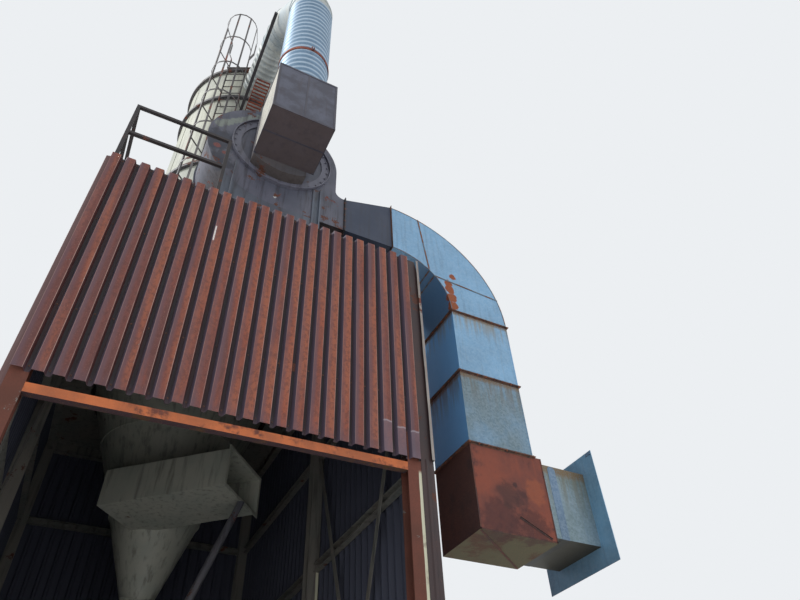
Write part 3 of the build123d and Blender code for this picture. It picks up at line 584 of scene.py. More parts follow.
class Builder:
    """Gathers vertices and faces in the model's frame, and turns them into one piece."""

    def __init__(self) -> None:
        """Starts an empty piece."""
        self.points: list[Vector] = []
        self.faces: list[tuple[int, ...]] = []

    def ring(self, points: Sequence[Vector]) -> range:
        """Adds points and returns their numbers."""
        self.points.extend(points)
        return range(len(self.points) - len(points), len(self.points))

    def skin(self, rows: Sequence[Sequence[Vector]], around: bool = False, along: bool = False) -> None:
        """Adds a surface between rows of points.

        Args:
            rows: Rows of the same number of points.
            around: Whether each row's last point joins its first.
            along: Whether the last row joins the first.
        """
        numbers = [self.ring(row) for row in rows]
        count = len(numbers[0])
        for i in range(len(numbers) if along else len(numbers) - 1):
            low, high = numbers[i], numbers[(i + 1) % len(numbers)]
            for j in range(count if around else count - 1):
                k = (j + 1) % count
                self.faces.append((low[j], low[k], high[k], high[j]))

    def solid(self, rows: Sequence[Sequence[Vector]]) -> None:
        """Adds a closed solid from rows of closed outlines, capped at both ends."""
        self.skin(rows, around=True)
        last, count = len(self.points), len(rows[0])
        first = last - count * len(rows)
        self.faces.append(tuple(reversed(range(first, first + count))))
        self.faces.append(tuple(range(last - count, last)))

    def block(self, low: Sequence[float], high: Sequence[float]) -> None:
        """Adds a square-edged bar or plate between two corners."""
        outline = rectangle(low[0], high[0], low[1], high[1])
        self.solid([at_z(z, outline) for z in (low[2], high[2])])

    def bar(self, start: Vector, end: Vector, wide: Vector, thick: Vector) -> None:
        """Adds a bar of rectangular section between the middles of its ends.

        Args:
            start: The middle of its near end.
            end: The middle of its far end.
            wide: Half its width.
            thick: Half its thickness.
        """
        corners = (wide + thick, thick - wide, -wide - thick, wide - thick)
        self.solid([[spot + corner for corner in corners] for spot in (start, end)])

    def turned(self, axis: Matrix, outline: Sequence[Pair], sides: int) -> None:
        """Adds a solid turned from a closed outline.

        Args:
            axis: Where its axis stands: the outline's height runs along the matrix's Z.
            outline: Radius and height of each corner, all clear of the axis.
            sides: The number of steps round it.
        """
        rows = [[axis @ Vector((r * c, r * s, h)) for r, h in outline] for c, s in circle(sides)]
        self.skin(rows, around=True, along=True)

    def bolt(self, spot: Vector, outward: Vector, across: float) -> None:
        """Adds a hexagon head on its washer.

        Args:
            spot: Where the washer lies.
            outward: The way the bolt points, of length 1.
            across: The head's width across its corners.
        """
        turn = Matrix.Translation(spot) @ outward.to_track_quat("Z", "Y").to_matrix().to_4x4()
        washer, head = (0.9, -0.05, 0.14, 10), (0.5, 0.14, 0.62, 6)
        for radius, low, high, sides in (washer, head):
            outline = [(radius * across * c, radius * across * s) for c, s in circle(sides)]
            self.solid([[turn @ point for point in at_z(z * across, outline)] for z in (low, high)])

    def finish(self, name: str, material: Material, slot: Slot, replaced: Sequence[str] = ()) -> None:
        """Makes the piece, dresses it and lets it ride on the body.

        Args:
            name: The piece's name.
            material: Its finish.
            slot: The record's slot that the finish belongs to; not used.
            replaced: The nodes that it stands for.
        """
        mesh = bpy.data.meshes.new(name)
        mesh.from_pydata([tuple(point) for point in self.points], [], self.faces)
        mesh.validate()
        shape = bmesh.new()
        shape.from_mesh(mesh)
        bmesh.ops.recalc_face_normals(shape, faces=shape.faces)
        shape.to_mesh(mesh)
        shape.free()
        mesh.polygons.foreach_set("use_smooth", [True] * len(mesh.polygons))
        mesh.set_sharp_from_angle(angle=SMOOTH_BELOW)
        mesh.materials.append(material)
        piece = bpy.data.objects.new(name, mesh)
        bpy.context.scene.collection.objects.link(piece)
        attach(piece, "root")
        if replaced:
            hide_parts(*replaced)
        LOG.info("%s: %d faces", name, len(mesh.polygons))


@dataclass
class Assembly:
    """A sub-assembly, with the frame's nodes that it dresses."""

    nodes: Nodes

    def dress(self, material: Material, *names: str) -> None:
        """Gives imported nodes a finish.

        Args:
            material: The finish.
            *names: The nodes to dress.
        """
        for name in names:
            slots = self.nodes[name].material_slots
            if not slots:
                self.nodes[name].data.materials.append(material)
            for entry in slots:
                entry.material = material
            LOG.info("%s: dressed in %s", name, material.name)


@dataclass
class Dent:
    """A place where a sheet is pushed in."""

    along: float
    height: float
    width: float
    rise: float
    depth: float

    def push(self, along: float, height: float) -> float:
        """Returns how far the sheet is pushed in at a place."""
        far = ((along - self.along) / self.width) ** 2 + ((height - self.height) / self.rise) ** 2
        return self.depth * math.exp(-far)


@dataclass
class SheetWall:
    """One wall of ribbed sheeting, with rounded folds, slight waves, dents and screws."""

    node: str
    outward: Vector
    screw_levels: tuple[float, ...] = (0.12, 1.55, 3.15, 4.75, 6.35, 7.80)
    row_step: float = 0.40
    glow_at: float = 1.5
    dents: tuple[Dent, ...] = ()
    scratch: Triple | None = None
    kinks: tuple[Pair, ...] = ()
    first_crest: float = 0.079
    pitch: float = 0.158
    rib_depth: float = 0.055
    crest: float = 0.094
    slope: float = 0.014
    thickness: float = 0.002
    fold: float = 0.006
    fold_share: float = 0.4
    fold_sink: float = 0.25
    wave: float = 0.0022
    screw: float = 0.011
    margin: float = 0.001
    screw_margin: float = 0.02

    def __post_init__(self) -> None:
        """Works out where the wall stands from its node."""
        low, high = corners_of(self.node)
        self.along = UP.cross(self.outward)
        self.bottom, self.top = low.z, high.z
        corners = at_z(0.0, rectangle(low.x, high.x, low.y, high.y))
        self.start = min(corner.dot(self.along) for corner in corners)
        self.back = min(corner.dot(self.outward) for corner in corners)
        self.length = max(corner.dot(self.along) for corner in corners) - self.start
        self.origin = self.along * self.start + self.outward * self.back

    def out(self, along: float) -> float:
        """Returns how far the section stands out at a place along the wall."""
        off = abs((along - self.first_crest + self.pitch / 2) % self.pitch - self.pitch / 2)
        share = (self.crest / 2 + self.slope - off) / self.slope
        return self.rib_depth * min(1.0, max(0.0, share))

    def outline(self) -> list[Pair]:
        """Returns the section: places along the wall and how far each stands out, with rounded folds."""
        half = self.crest / 2
        places = [0.0, self.length]
        for k in range(-1, int(self.length / self.pitch) + 2):
            middle = self.first_crest + k * self.pitch
            folds = (middle - half - self.slope, middle - half, middle + half, middle + half + self.slope)
            places += [fold for fold in folds if self.margin < fold < self.length - self.margin]
        corners = [(place, self.out(place)) for place in sorted(places)]
        line = [corners[0]]
        for before, here, after in zip(corners[:-2], corners[1:-1], corners[2:]):
            spot = Vector(here)
            back, ahead = Vector(before) - spot, Vector(after) - spot
            back = back.normalized() * min(self.fold, back.length * self.fold_share)
            ahead = ahead.normalized() * min(self.fold, ahead.length * self.fold_share)
            middle = spot + (back + ahead) * self.fold_sink
            line += [tuple(spot + back), tuple(middle), tuple(spot + ahead)]
        return [*line, corners[-1]]

    def spot(self, along: float, out: float, height: float) -> Vector:
        """Returns a place on the sheet, with its waves and dents."""
        seed = Vector((along * 1.3, height * 0.8, self.outward.x * 7.0 + self.outward.y * 3.0))
        ripple = (field_noise.noise(seed) - 1.0) * self.wave / 2
        pushed = sum(dent.push(along, height) for dent in self.dents)
        return self.origin + self.along * along + self.outward * (out + ripple - pushed) + UP * height

    def build(self) -> None:
        """Makes the sheet and its screws."""
        line = self.outline()
        count = len(line)
        steps = max(1, round((self.top - self.bottom) / self.row_step))
        builder, screws = Builder(), Builder()
        rows = []
        for level in spread(self.bottom, self.top, steps):
            outer = [self.spot(along, out + self.thickness, level) for along, out in line]
            rows.append(outer + [self.spot(along, out, level) for along, out in reversed(line)])
        builder.skin(rows, around=True)
        for end in (0, steps * 2 * count):
            for k in range(count - 1):
                mate = end + 2 * count - 1 - k
                builder.faces.append((end + k, end + k + 1, mate - 1, mate))
        first = self.start + self.first_crest - self.pitch / 2
        look = SheetingFinish(
            f"{self.node} paint", tuple(self.outward), self.back, first, bottom=self.bottom,
            glow_at=self.glow_at, scratch=self.scratch, kinks=self.kinks,
        )
        builder.finish(f"{self.node}_sheet", look.make(), Slot.SHEETING, (self.node,))
        for level in self.screw_levels:
            for k in range(int(self.length / self.pitch)):
                along = self.first_crest + (k + 0.5) * self.pitch
                if along < self.length - self.screw_margin:
                    screws.bolt(self.spot(along, self.thickness, level), self.outward, self.screw)
        rust = RustFinish(f"{self.node} screw rust", tone(104, 70, 56), tone(72, 52, 48), size=0.03)
        screws.finish(f"{self.node}_screws", rust.make(), Slot.RUSTY)


@dataclass
class Sheeting(Assembly):
    """The four sheeted walls and the corner strip."""

    front_row: float = 0.10
    front_crest: float = 0.046
    strip_step: float = 0.012
    strip_width: float = 0.030
    strip_plate: float = 0.003
    strip_back: float = 0.030
    strip_overlap: float = 0.004
    strip_clear: float = 0.001
    edge_width: float = 0.030
    edge_wander: float = 0.004
    edge_proud: float = 0.0015
    edge_rows: int = 30

    def build(self) -> None:
        """Makes the walls, the corner strip's lower half and its folded outer edge."""
        dents = (
            Dent(3.363, 5.02, 0.05, 0.13, 0.012),
            Dent(3.521, 4.98, 0.05, 0.14, 0.014),
            Dent(3.679, 4.98, 0.05, 0.16, 0.018),
            Dent(2.30, 5.60, 0.10, 0.30, 0.004),
        )
        kinks = ((3.288, 5.185), (3.446, 5.145), (3.604, 5.135))
        SheetWall(
            "front_siding", FRONT, (4.90, 5.59, 6.79, 7.81), self.front_row, glow_at=2.1, dents=dents,
            scratch=(1.20, 7.09, 0.11), kinks=kinks, first_crest=self.front_crest,
        ).build()
        SheetWall("right_siding", RIGHT).build()
        SheetWall("left_siding", LEFT, glow_at=-3.5).build()
        SheetWall("rear_siding", BACK).build()
        dark = PaintFinish(
            "corner strip", tone(62, 42, 40), tone(50, 38, 40), primer=tone(84, 50, 42), rusting=0.4
        ).make()
        self.dress(dark, "corner_flashing")
        low, high = corners_of("corner_flashing")
        self.lower_strip(low, high, dark)
        self.strip_edge(low, high)

    def lower_strip(self, low: Vector, high: Vector, dark: Material) -> None:
        """Makes the folded strip that covers the corner below the flashing.

        Args:
            low: The flashing's lowest corner.
            high: The flashing's highest corner.
            dark: Its finish.
        """
        foot, side = corners_of("right_siding")
        y, step, end = low.y + self.strip_back, self.strip_step, side.x + self.strip_width
        front = [(foot.x + self.strip_clear, y), (side.x - step, y), (side.x, y - step)]
        front += [(end, y - step), (end + step, y), (high.x, y)]
        back = [(x, y + self.strip_plate) for x, y in reversed(front)]
        builder = Builder()
        builder.solid([at_z(z, front + back) for z in (foot.z, low.z + self.strip_overlap)])
        builder.finish("corner_strip_lower", dark, Slot.SHEETING)

    def strip_edge(self, low: Vector, high: Vector) -> None:
        """Makes the flashing's pale outer edge, with its uneven fold line.

        Args:
            low: The flashing's lowest corner.
            high: The flashing's highest corner.
        """
        proud, edge, back = low.y - self.edge_proud, high.x + self.edge_proud, low.y + self.strip_back
        rows = []
        for z in spread(low.z, high.z, self.edge_rows):
            wander = self.edge_wander * field_noise.noise(Vector((0.0, 0.0, z * 2.3)))
            inner = high.x - self.edge_width + wander
            outline = [(inner, low.y), (inner, proud), (edge, proud), (edge, back)]
            rows.append(at_z(z, [*outline, (high.x, back), (high.x, low.y)]))
        builder = Builder()
        builder.solid(rows)
        pale = PaintFinish(
            "corner strip edge", tone(158, 150, 142), tone(134, 124, 118), flaking=0.35, rusting=0.4,
            dirtiness=0.6, dirt=tone(92, 76, 70),
        )
        builder.finish("corner_strip_edge", pale.make(), Slot.SHEETING)


@dataclass
class Tower(Assembly):
    """Columns, beams, girts, braces and deck of the tower, with their anchor bolts."""

    column_inset: float = 0.075
    middle_row: float = 2.72
    anchor_reach: float = 0.11
    bolt_size: float = 0.034
    beam_height: float = 0.090
    beam_plate: float = 0.008
    beam_sag: float = 0.004
    beam_steps: int = 24

    def build(self) -> None:
        """Makes the tower's pieces and finishes its nodes."""
        low, high = corners_of("tower_columns")
        top = corners_of("base_plates")[1].z
        bolts = Builder()
        for x in (low.x + self.column_inset, high.x - self.column_inset):
            for y in (low.y + self.column_inset, self.middle_row, high.y - self.column_inset):
                for side in (-self.anchor_reach, self.anchor_reach):
                    bolts.bolt(Vector((x + side, y, top)), UP, self.bolt_size)
        bolts.finish("tower_bolts", RustFinish("rusty bolts", size=0.03).make(), Slot.RUSTY)
        self.front_beam()
        steel = PaintFinish(
            "tower steel", tone(112, 112, 106), tone(122, 116, 108), primer=tone(112, 62, 48), flaking=0.26,
            rusting=0.3, rust=tone(92, 54, 42), worn_before=0.12, stripe=(3.664, 0.018, 4.75),
        ).make()
        self.dress(steel, "tower_columns", "base_plates", "deck_beams", "deck_plate")
        self.dress(steel, "wall_girts", "wall_braces")
        rail = PaintFinish("guard rail paint", tone(34, 30, 32), tone(46, 38, 38), flaking=0.3, rusting=0.35)
        self.dress(rail.make(), "deck_guard_rail")

    def front_beam(self) -> None:
        """Makes the sagging channel under the front sheeting: it has slipped down at its left end."""
        low, high = corners_of("front_beam")
        drop = high.z - low.z - self.beam_height
        front, back, plate = low.y, high.y, self.beam_plate
        rows = []
        for share in spread(0.0, 1.0, self.beam_steps):
            foot = low.z + drop * share + self.beam_sag * math.sin(math.pi * share)
            top = min(foot + self.beam_height, high.z)
            section = [(front, foot), (back, foot), (back, foot + plate), (front + plate, foot + plate)]
            section += [(front + plate, top - plate), (back, top - plate), (back, top), (front, top)]
            rows.append(at_x(low.x + (high.x - low.x) * share, section))
        builder = Builder()
        builder.solid(rows)
        # Painted shade on the channel's downward faces.
        rust = RustFinish(
            "front beam rust", tone(196, 108, 62), tone(164, 92, 58), tone(104, 58, 46),
            under=tone(66, 46, 50),
        )
        builder.finish("front_channel", rust.make(), Slot.RUSTY, ("front_beam",))


@dataclass
class FilterHouse(Assembly):
    """The round filter house: wall, bands, roof, hopper, valve and inlet."""

    sides: int = 120
    course: float = 2.35
    courses: int = 3
    rows: int = 14
    row_step: float = 0.6
    weld: float = 0.006
    weld_width: float = 0.022
    weld_inset: float = 0.002
    unevenness: float = 0.002
    plate: float = 0.014
    seam_turns: tuple[float, ...] = (200.0, 307.0, 54.0, 161.0)
    seam_half: float = 0.007
    seam_proud: float = 0.003
    lower_bands: tuple[float, ...] = (15.55, 12.91)
    band_height: float = 0.09
    band_step: float = 0.006
    band_bolts: int = 48
    band_bolt: float = 0.026
    band_bolt_inset: float = 0.028
    ring_inner: float = 1.420
    roof_hub: float = 0.004
    cone_sides: int = 96
    cone_foot: float = 0.200
    cone_plate: float = 0.006
    cone_welds: tuple[float, ...] = (0.35, 0.68)
    cone_bead: tuple[Pair, ...] = ((-0.004, -0.01), (0.012, -0.004), (0.012, 0.004), (0.0, 0.01))
    spout_sides: int = 64
    valve_reach: float = 0.215
    valve_gap: float = 0.09
    valve_plate: float = 0.012
    valve_bolt: float = 0.022

    def __post_init__(self) -> None:
        """Reads the wall's place."""
        low, high = corners_of("filter_house_shell")
        self.centre = (low + high) / 2
        self.radius = (high.x - low.x) / 2
        self.bottom, self.top = low.z, high.z

    def axis(self, level: float = 0.0) -> Matrix:
        """Returns the house's axis at a level."""
        return Matrix.Translation((self.centre.x, self.centre.y, level))

    def wall(self, creamy: Material) -> None:
        """Makes the rolled wall: slightly uneven courses of plate with weld lines between them."""
        joints = [self.bottom + self.course * k for k in range(1, self.courses + 1)]
        levels = [self.bottom, self.top]
        levels += [self.bottom + self.row_step * k for k in range(1, self.rows + 1)]
        for joint in joints:
            levels += [joint + self.weld_width * share for share in (-1.0, -1.0 / 3.0, 1.0 / 3.0, 1.0)]
        rows = []
        for level in sorted(levels):
            at_weld = min(abs(level - joint) for joint in joints) < self.weld_width / 2
            row = []
            for c, s in circle(self.sides):
                wave = field_noise.noise(Vector((c * 2.2, s * 2.2, level * 0.7))) - 1.0
                radius = self.radius - (self.weld_inset if at_weld else self.weld - self.unevenness * wave)
                row.append(self.axis(level) @ Vector((radius * c, radius * s, 0.0)))
            rows.append(row)
        inside = self.radius - self.plate
        for level in (self.top, self.bottom):
            axis = self.axis(level)
            rows.append([axis @ Vector((inside * c, inside * s, 0.0)) for c, s in circle(self.sides)])
        builder = Builder()
        builder.skin(rows, around=True, along=True)
        for angle in self.seam_turns:
            turn = math.radians(angle)
            outward = Vector((math.cos(turn), math.sin(turn), 0.0))
            spot = self.axis(self.bottom) @ (outward * (self.radius - self.seam_proud))
            top = spot + UP * (self.top - self.bottom)
            builder.bar(spot, top, UP.cross(outward) * self.seam_half, outward * self.seam_proud)
        builder.finish("filter_house_wall", creamy, Slot.CREAM, ("filter_house_shell",))

    def rings(self, dark: Material, frame: Material) -> None:
        """Makes the bands, the support ring and their bolts."""
        bands, bolts, ring = Builder(), Builder(), Builder()
        outer, step = radius_of("shell_bands"), self.band_step
        inner = self.radius - step
        for top in (corners_of("shell_bands")[1].z, *self.lower_bands):
            bottom = top - self.band_height
            outline = [(inner, bottom), (outer - step, bottom), (outer, bottom + step)]
            outline += [(outer, top - step), (outer - step, top), (inner, top)]
            bands.turned(self.axis(), outline, self.sides)
            for c, s in circle(self.band_bolts, 0.5):
                spot = self.axis(bottom) @ (Vector((c, s, 0.0)) * (outer - self.band_bolt_inset))
                bolts.bolt(spot, DOWN, self.band_bolt)
        bands.finish("filter_house_bands", dark, Slot.DARK, ("shell_bands",))
        low, high = corners_of("support_ring")
        ring.turned(self.axis(), rectangle(self.ring_inner, outer, low.z, high.z), self.sides)
        ring.finish("support_ring_turned", frame, Slot.FRAME, ("support_ring",))
        bolts.finish("band_bolts", dark, Slot.DARK)

    def roof(self, creamy: Material) -> None:
        """Makes the round roof plate."""
        low, high = corners_of("filter_house_roof")
        outline = rectangle(self.roof_hub, radius_of("filter_house_roof"), low.z, high.z)
        builder = Builder()
        builder.turned(self.axis(), outline, self.sides)
        builder.finish("roof_plate", creamy, Slot.CREAM, ("filter_house_roof",))

    def lower_works(self, inside: Material) -> None:
        """Makes the smooth hopper and spout, and the bolts of the valve."""
        low, high = corners_of("hopper_cone")
        wide, narrow, wall = radius_of("hopper_cone"), self.cone_foot, self.cone_plate
        cone, spout, bolts = Builder(), Builder(), Builder()
        outline = [(narrow, low.z), (wide, high.z), (wide - wall, high.z), (narrow - wall, low.z)]
        cone.turned(self.axis(), outline, self.cone_sides)
        for share in self.cone_welds:
            radius, z = narrow + (wide - narrow) * share, low.z + (high.z - low.z) * share
            bead = [(radius + out, z + up) for out, up in self.cone_bead]
            cone.turned(self.axis(), bead, self.cone_sides)
        cone.finish("hopper_rolled", inside, Slot.INSIDE, ("hopper_cone",))
        low, high = corners_of("discharge_spout")
        radius = radius_of("discharge_spout")
        spout.turned(self.axis(), rectangle(radius - wall, radius, low.z, high.z), self.spout_sides)
        spout.finish("spout_rolled", inside, Slot.INSIDE, ("discharge_spout",))
        low, high = corners_of("discharge_valve")
        for z, way in ((low.z + self.valve_plate, UP), (high.z - self.valve_plate, DOWN)):
            for offset in (self.valve_gap * k for k in range(-2, 3)):
                for side in (-self.valve_reach, self.valve_reach):
                    for x, y in ((offset, side), (side, offset)):
                        bolts.bolt(self.axis(z) @ Vector((x, y, 0.0)), way, self.valve_bolt)
        bolts.finish("valve_bolts", inside, Slot.INSIDE)

    def build(self) -> None:
        """Makes the house's pieces and finishes its nodes."""
        # The house paint takes painted shade towards the right.
        creamy = PaintFinish(
            "cream house paint", tone(180, 180, 162), tone(158, 160, 148), primer=tone(150, 128, 104),
            rust=tone(116, 84, 64), flaking=0.10, rusting=0.12, dirt=tone(112, 106, 96), dirtiness=0.55,
            patch=0.6, roughness=0.62, shade_at=0.90, shade=tone(96, 98, 102),
        ).make()
        dark = PaintFinish("band paint", tone(58, 56, 60), tone(82, 78, 78), flaking=0.35, rusting=0.35)
        frame = PaintFinish("ring paint", tone(84, 80, 76), tone(104, 92, 84), flaking=0.55, rusting=0.5)
        inside = PaintFinish(
            "inside paint", tone(168, 170, 158), tone(184, 182, 168), flaking=0.12, rusting=0.2,
            dirt=tone(86, 78, 68), dirtiness=0.5,
        ).make()
        prop = PaintFinish("prop paint", tone(88, 88, 96), tone(102, 100, 104), rusting=0.35)
        bars = PaintFinish(
            "ladder paint", tone(96, 92, 90), tone(72, 68, 68), flaking=0.4, rusting=0.4,
            rust=tone(96, 62, 50),
        )
        self.wall(creamy)
        self.rings(dark.make(), frame.make())
        self.roof(creamy)
        self.lower_works(inside)
        self.dress(inside, "discharge_valve", "dirty_air_inlet")
        self.dress(prop.make(), "raking_prop")
        self.dress(bars.make(), "ladder", "ladder_cage", "roof_landing")


@dataclass
class Fan(Assembly):
    """The centrifugal fan: casing, ring, collar, inlet box, base and drive."""

    ring_bolts: int = 32
    ring_bolt: float = 0.026
    ring_bolt_inset: float = 0.045
    ring_plate: float = 0.014
    ring_bore: float = 0.6
    ring_sides: int = 96
    growth: float = 0.107
    outlet_drop: float = 0.490
    cutoff: float = 0.120
    cutoff_steps: int = 8
    arc_steps: int = 32
    side_plate: float = 0.008
    side_lip: float = 0.025
    skirt_left: float = -0.425
    skirt_right: float = 0.330
    skirt_top: float = 0.55
    skirt_steps: int = 40
    skirt_seam: Pair = (0.018, 0.003)
    seam_shift: float = 0.01
    seam_sink: float = 0.001
    seam_end: float = 0.004
    box_lip: float = 0.028
    box_proud: float = 0.004
    box_lap: float = 1.4
    box_seam: float = 0.012
    box_strip: float = 0.010
    motor_length: float = 0.62
    motor_radius: float = 0.235
    motor_bore: float = 0.10
    motor_ribs: int = 40
    rib_height: float = 0.012
    rib_half: float = 0.003
    rib_start: float = 0.10
    rib_length: float = 0.38
    bell: Pair = (0.01, 0.07)
    cover: Pair = (0.13, 0.12)
    bell_bevel: Pair = (0.015, 0.02)
    bell_sides: int = 64

    def __post_init__(self) -> None:
        """Reads the shaft's place."""
        low, high = corners_of("fan_side_ring")
        self.shaft = (low + high) / 2
        self.ring_radius = (high.x - low.x) / 2
        self.ring_front, self.ring_back = low.y, high.y

    def facing(self, y: float) -> Matrix:
        """Returns the shaft's axis at a place, its Z towards the front."""
        return Matrix.Translation((self.shaft.x, y, self.shaft.z)) @ Matrix.Rotation(math.pi / 2, 4, "X")

    def ring(self, paint: Material) -> None:
        """Makes the round cover plate with its rim and bolts."""
        radius, plate, bore = self.ring_radius, self.ring_plate, self.ring_bore
        front, rim = self.ring_back - self.ring_front, radius - plate
        builder = Builder()
        outline = [(bore, 0.0), (radius, 0.0), (radius, front), (rim, front), (rim, plate), (bore, plate)]
        builder.turned(self.facing(self.ring_back), outline, self.ring_sides)
        reach = radius - self.ring_bolt_inset
        for c, s in circle(self.ring_bolts, 0.5):
            spot = Vector((self.shaft.x + reach * c, self.ring_back - plate, self.shaft.z + reach * s))
            builder.bolt(spot, FRONT, self.ring_bolt)
        builder.finish("side_ring_turned", paint, Slot.FAN, ("fan_side_ring",))

    def scroll(self, inset: float) -> list[Pair]:
        """Returns the casing's outline in X and Z: three quarter arcs, the outlet and the cut-off.

        Args:
            inset: How far the outline lies inside the side plates' edge.

        Returns:
            The outline's corners.
        """
        high = corners_of("fan_casing")[1]
        half, quarter = self.growth / 2, math.pi / 2
        radius = high.z - self.shaft.z - half - inset
        points = []
        for number, (x, z) in enumerate(((-half, half), (-half, -half), (half, -half))):
            reach, centre = radius + number * self.growth, (self.shaft.x + x, self.shaft.z + z)
            points += arc(number * quarter, (number + 1) * quarter, self.arc_steps, reach, centre)
        ceiling = self.shaft.z - self.outlet_drop - inset
        points += [(high.x, points[-1][1]), (high.x, ceiling)]
        fillet = self.cutoff + inset
        centre = (self.shaft.x + radius - half + fillet, ceiling + fillet)
        return points + arc(3 * quarter, math.pi, self.cutoff_steps, fillet, centre)

    def casing(self, paint: Material) -> None:
        """Makes the scroll casing: a rolled wrapper between two side plates that stand proud of it."""
        low, high = corners_of("fan_casing")
        front, back = low.y + self.side_plate, high.y - self.side_plate
        wide, narrow = self.scroll(0.0), self.scroll(self.side_lip)
        rows = [at_y(low.y, wide), at_y(front, wide), at_y(front, narrow)]
        rows += [at_y(back, narrow), at_y(back, wide), at_y(high.y, wide)]
        builder = Builder()
        builder.solid(rows)
        builder.finish("scroll_casing", paint, Slot.FAN, ("fan_casing",))

    def collar(self, paint: Material) -> None:
        """Makes the skirt between the inlet box and the casing: straight sides over a rolled bottom."""
        low, high = corners_of("inlet_collar")
        radius, left, right = radius_of("inlet_collar"), self.skirt_left, self.skirt_right
        x, z = self.shaft.x, self.shaft.z
        turns = (math.pi + math.acos(-left / radius), math.tau - math.acos(right / radius))
        points = [(x + right, z + self.skirt_top), (x + left, z + self.skirt_top)]
        points += arc(*turns, self.skirt_steps, radius, (x, z))
        builder = Builder()
        builder.solid([at_y(y, points) for y in (high.y, low.y)])
        wide, thick = self.skirt_seam
        places = (low.y + self.seam_end, high.y - self.seam_end)
        ends = [Vector((x - self.seam_shift, y, z - radius + self.seam_sink)) for y in places]
        builder.bar(*ends, RIGHT * wide, UP * thick)
        builder.finish("inlet_skirt", paint, Slot.FAN, ("inlet_collar",))

    def inlet_box(self, paint: Material) -> None:
        """Adds the folded edges, the centre seam and the seam strips of the inlet box."""
        low, high = corners_of("inlet_box")
        builder = Builder()
        lip, proud, seam, strip = self.box_lip, self.box_proud, self.box_seam, self.box_strip
        middle, centre = (low.x + high.x) / 2, (low.y + high.y) / 2
        builder.block((middle - seam, low.y - proud, low.z), (middle + seam, low.y, high.z))
        for x0, x1 in ((low.x - proud, low.x + lip), (high.x - lip, high.x + proud)):
            builder.block((x0, low.y - proud, low.z - proud), (x1, low.y, high.z))
            builder.block((x0, high.y - lip, low.z - proud), (x1, high.y, high.z))
        for x0, x1 in ((low.x - proud, low.x), (high.x, high.x + proud)):
            builder.block((x0, low.y, low.z - proud), (x1, low.y + lip, high.z))
        over = proud * self.box_lap
        for z0, z1 in ((low.z - proud, low.z + lip), (high.z - lip, high.z + proud)):
            builder.block((low.x - proud, low.y - over, z0), (high.x + proud, low.y, z1))
            builder.block((low.x - over, low.y, z0), (low.x, high.y, z1))
            builder.block((high.x, low.y, z0), (high.x + over, high.y, z1))
        builder.block((low.x, centre - strip, low.z - proud), (high.x, centre + strip, low.z))
        builder.finish("inlet_box_seams", paint, Slot.FAN)

    def motor(self, paint: Material) -> None:
        """Adds cooling ribs, end bells and the fan cover to the motor."""
        back = corners_of("fan_motor")[1].y
        start, radius, bore = back - self.motor_length, self.motor_radius, self.motor_bore
        builder = Builder()
        for c, s in circle(self.motor_ribs):
            over_feet, at_terminals = abs(s + 0.75) < 0.3, c > 0.9
            if not (over_feet or at_terminals):
                outward = Vector((c, 0.0, s))
                spot = Vector((self.shaft.x, start + self.rib_start, self.shaft.z)) + outward * radius
                end = spot + BACK * self.rib_length
                builder.bar(spot, end, outward.cross(BACK) * self.rib_half, outward * self.rib_height)
        rim, (inward, rise) = radius + self.rib_height, self.bell_bevel
        for y, depth in ((start + self.bell[0], self.bell[1]), (back - self.cover[0], self.cover[1])):
            outline = [(bore, 0.0), (rim, 0.0), (rim, depth - rise), (rim - inward, depth), (bore, depth)]
            builder.turned(self.facing(y + depth), outline, self.bell_sides)
        builder.finish("motor_ribs", paint, Slot.FAN)

    def build(self) -> None:
        """Makes the fan's pieces and finishes its nodes."""
        front = corners_of("fan_casing")[0].y
        # Painted shadow: two dark patches over the casing's left lobe.
        marks = [((0.98, front, 9.26), 0.34, tone(44, 47, 60)), ((1.06, front, 8.84), 0.24, tone(52, 54, 66))]
        # Painted light: a row of pale spots makes a bright crescent round the lobe.
        marks += [((0.93 + 0.065 * k, front, 9.64 + 0.066 * k), 0.090, tone(122, 128, 120)) for k in range(9)]
        marks += [
            ((0.98, front, 9.12), 0.06, tone(124, 60, 52)),
            ((1.10, front, 9.02), 0.05, tone(118, 58, 50)),
            ((1.856, front, 8.47), 0.035, tone(216, 216, 212)),
        ]
        # The fan paint and the skirt paint take painted shade on downward faces.
        paint = PaintFinish(
            "fan paint", tone(78, 80, 92), tone(92, 92, 104), primer=tone(110, 56, 48), flaking=0.34,
            rusting=0.36, patch=0.22, dirt=tone(44, 40, 46), dirtiness=0.65, under=tone(78, 70, 68),
            marks=tuple(marks),
        ).make()
        skirt = PaintFinish(
            "skirt paint", tone(92, 84, 84), tone(78, 76, 80), flaking=0.2, dirt=tone(60, 52, 50),
            roughness=0.85, under=tone(84, 76, 74),
        ).make()
        ring = PaintFinish(
            "ring paint faded", tone(114, 113, 126), tone(100, 100, 112), primer=tone(110, 62, 50),
            flaking=0.18, rusting=0.3, dirt=tone(56, 48, 50), dirtiness=0.5,
        ).make()
        # Painted light on the inlet box's left face; painted shade on its underside.
        box = PaintFinish(
            "inlet box paint", tone(82, 84, 98), tone(62, 62, 74), flaking=0.08, rusting=0.45, patch=0.10,
            rust=tone(62, 54, 60), dirt=tone(60, 52, 58), dirtiness=0.5, under=tone(80, 68, 66),
            left_painted_light=tone(184, 180, 166),
        ).make()
        seam = PaintFinish("inlet box seam paint", tone(60, 58, 68), tone(72, 70, 80), flaking=0.2).make()
        base = PaintFinish(
            "base paint", tone(92, 100, 112), tone(78, 80, 90), flaking=0.35, rusting=0.35, dirtiness=0.6
        ).make()
        self.casing(paint)
        self.ring(ring)
        self.collar(skirt)
        self.inlet_box(seam)
        self.motor(paint)
        self.dress(paint, "fan_motor")
        self.dress(box, "inlet_box")
        self.dress(base, "fan_base")


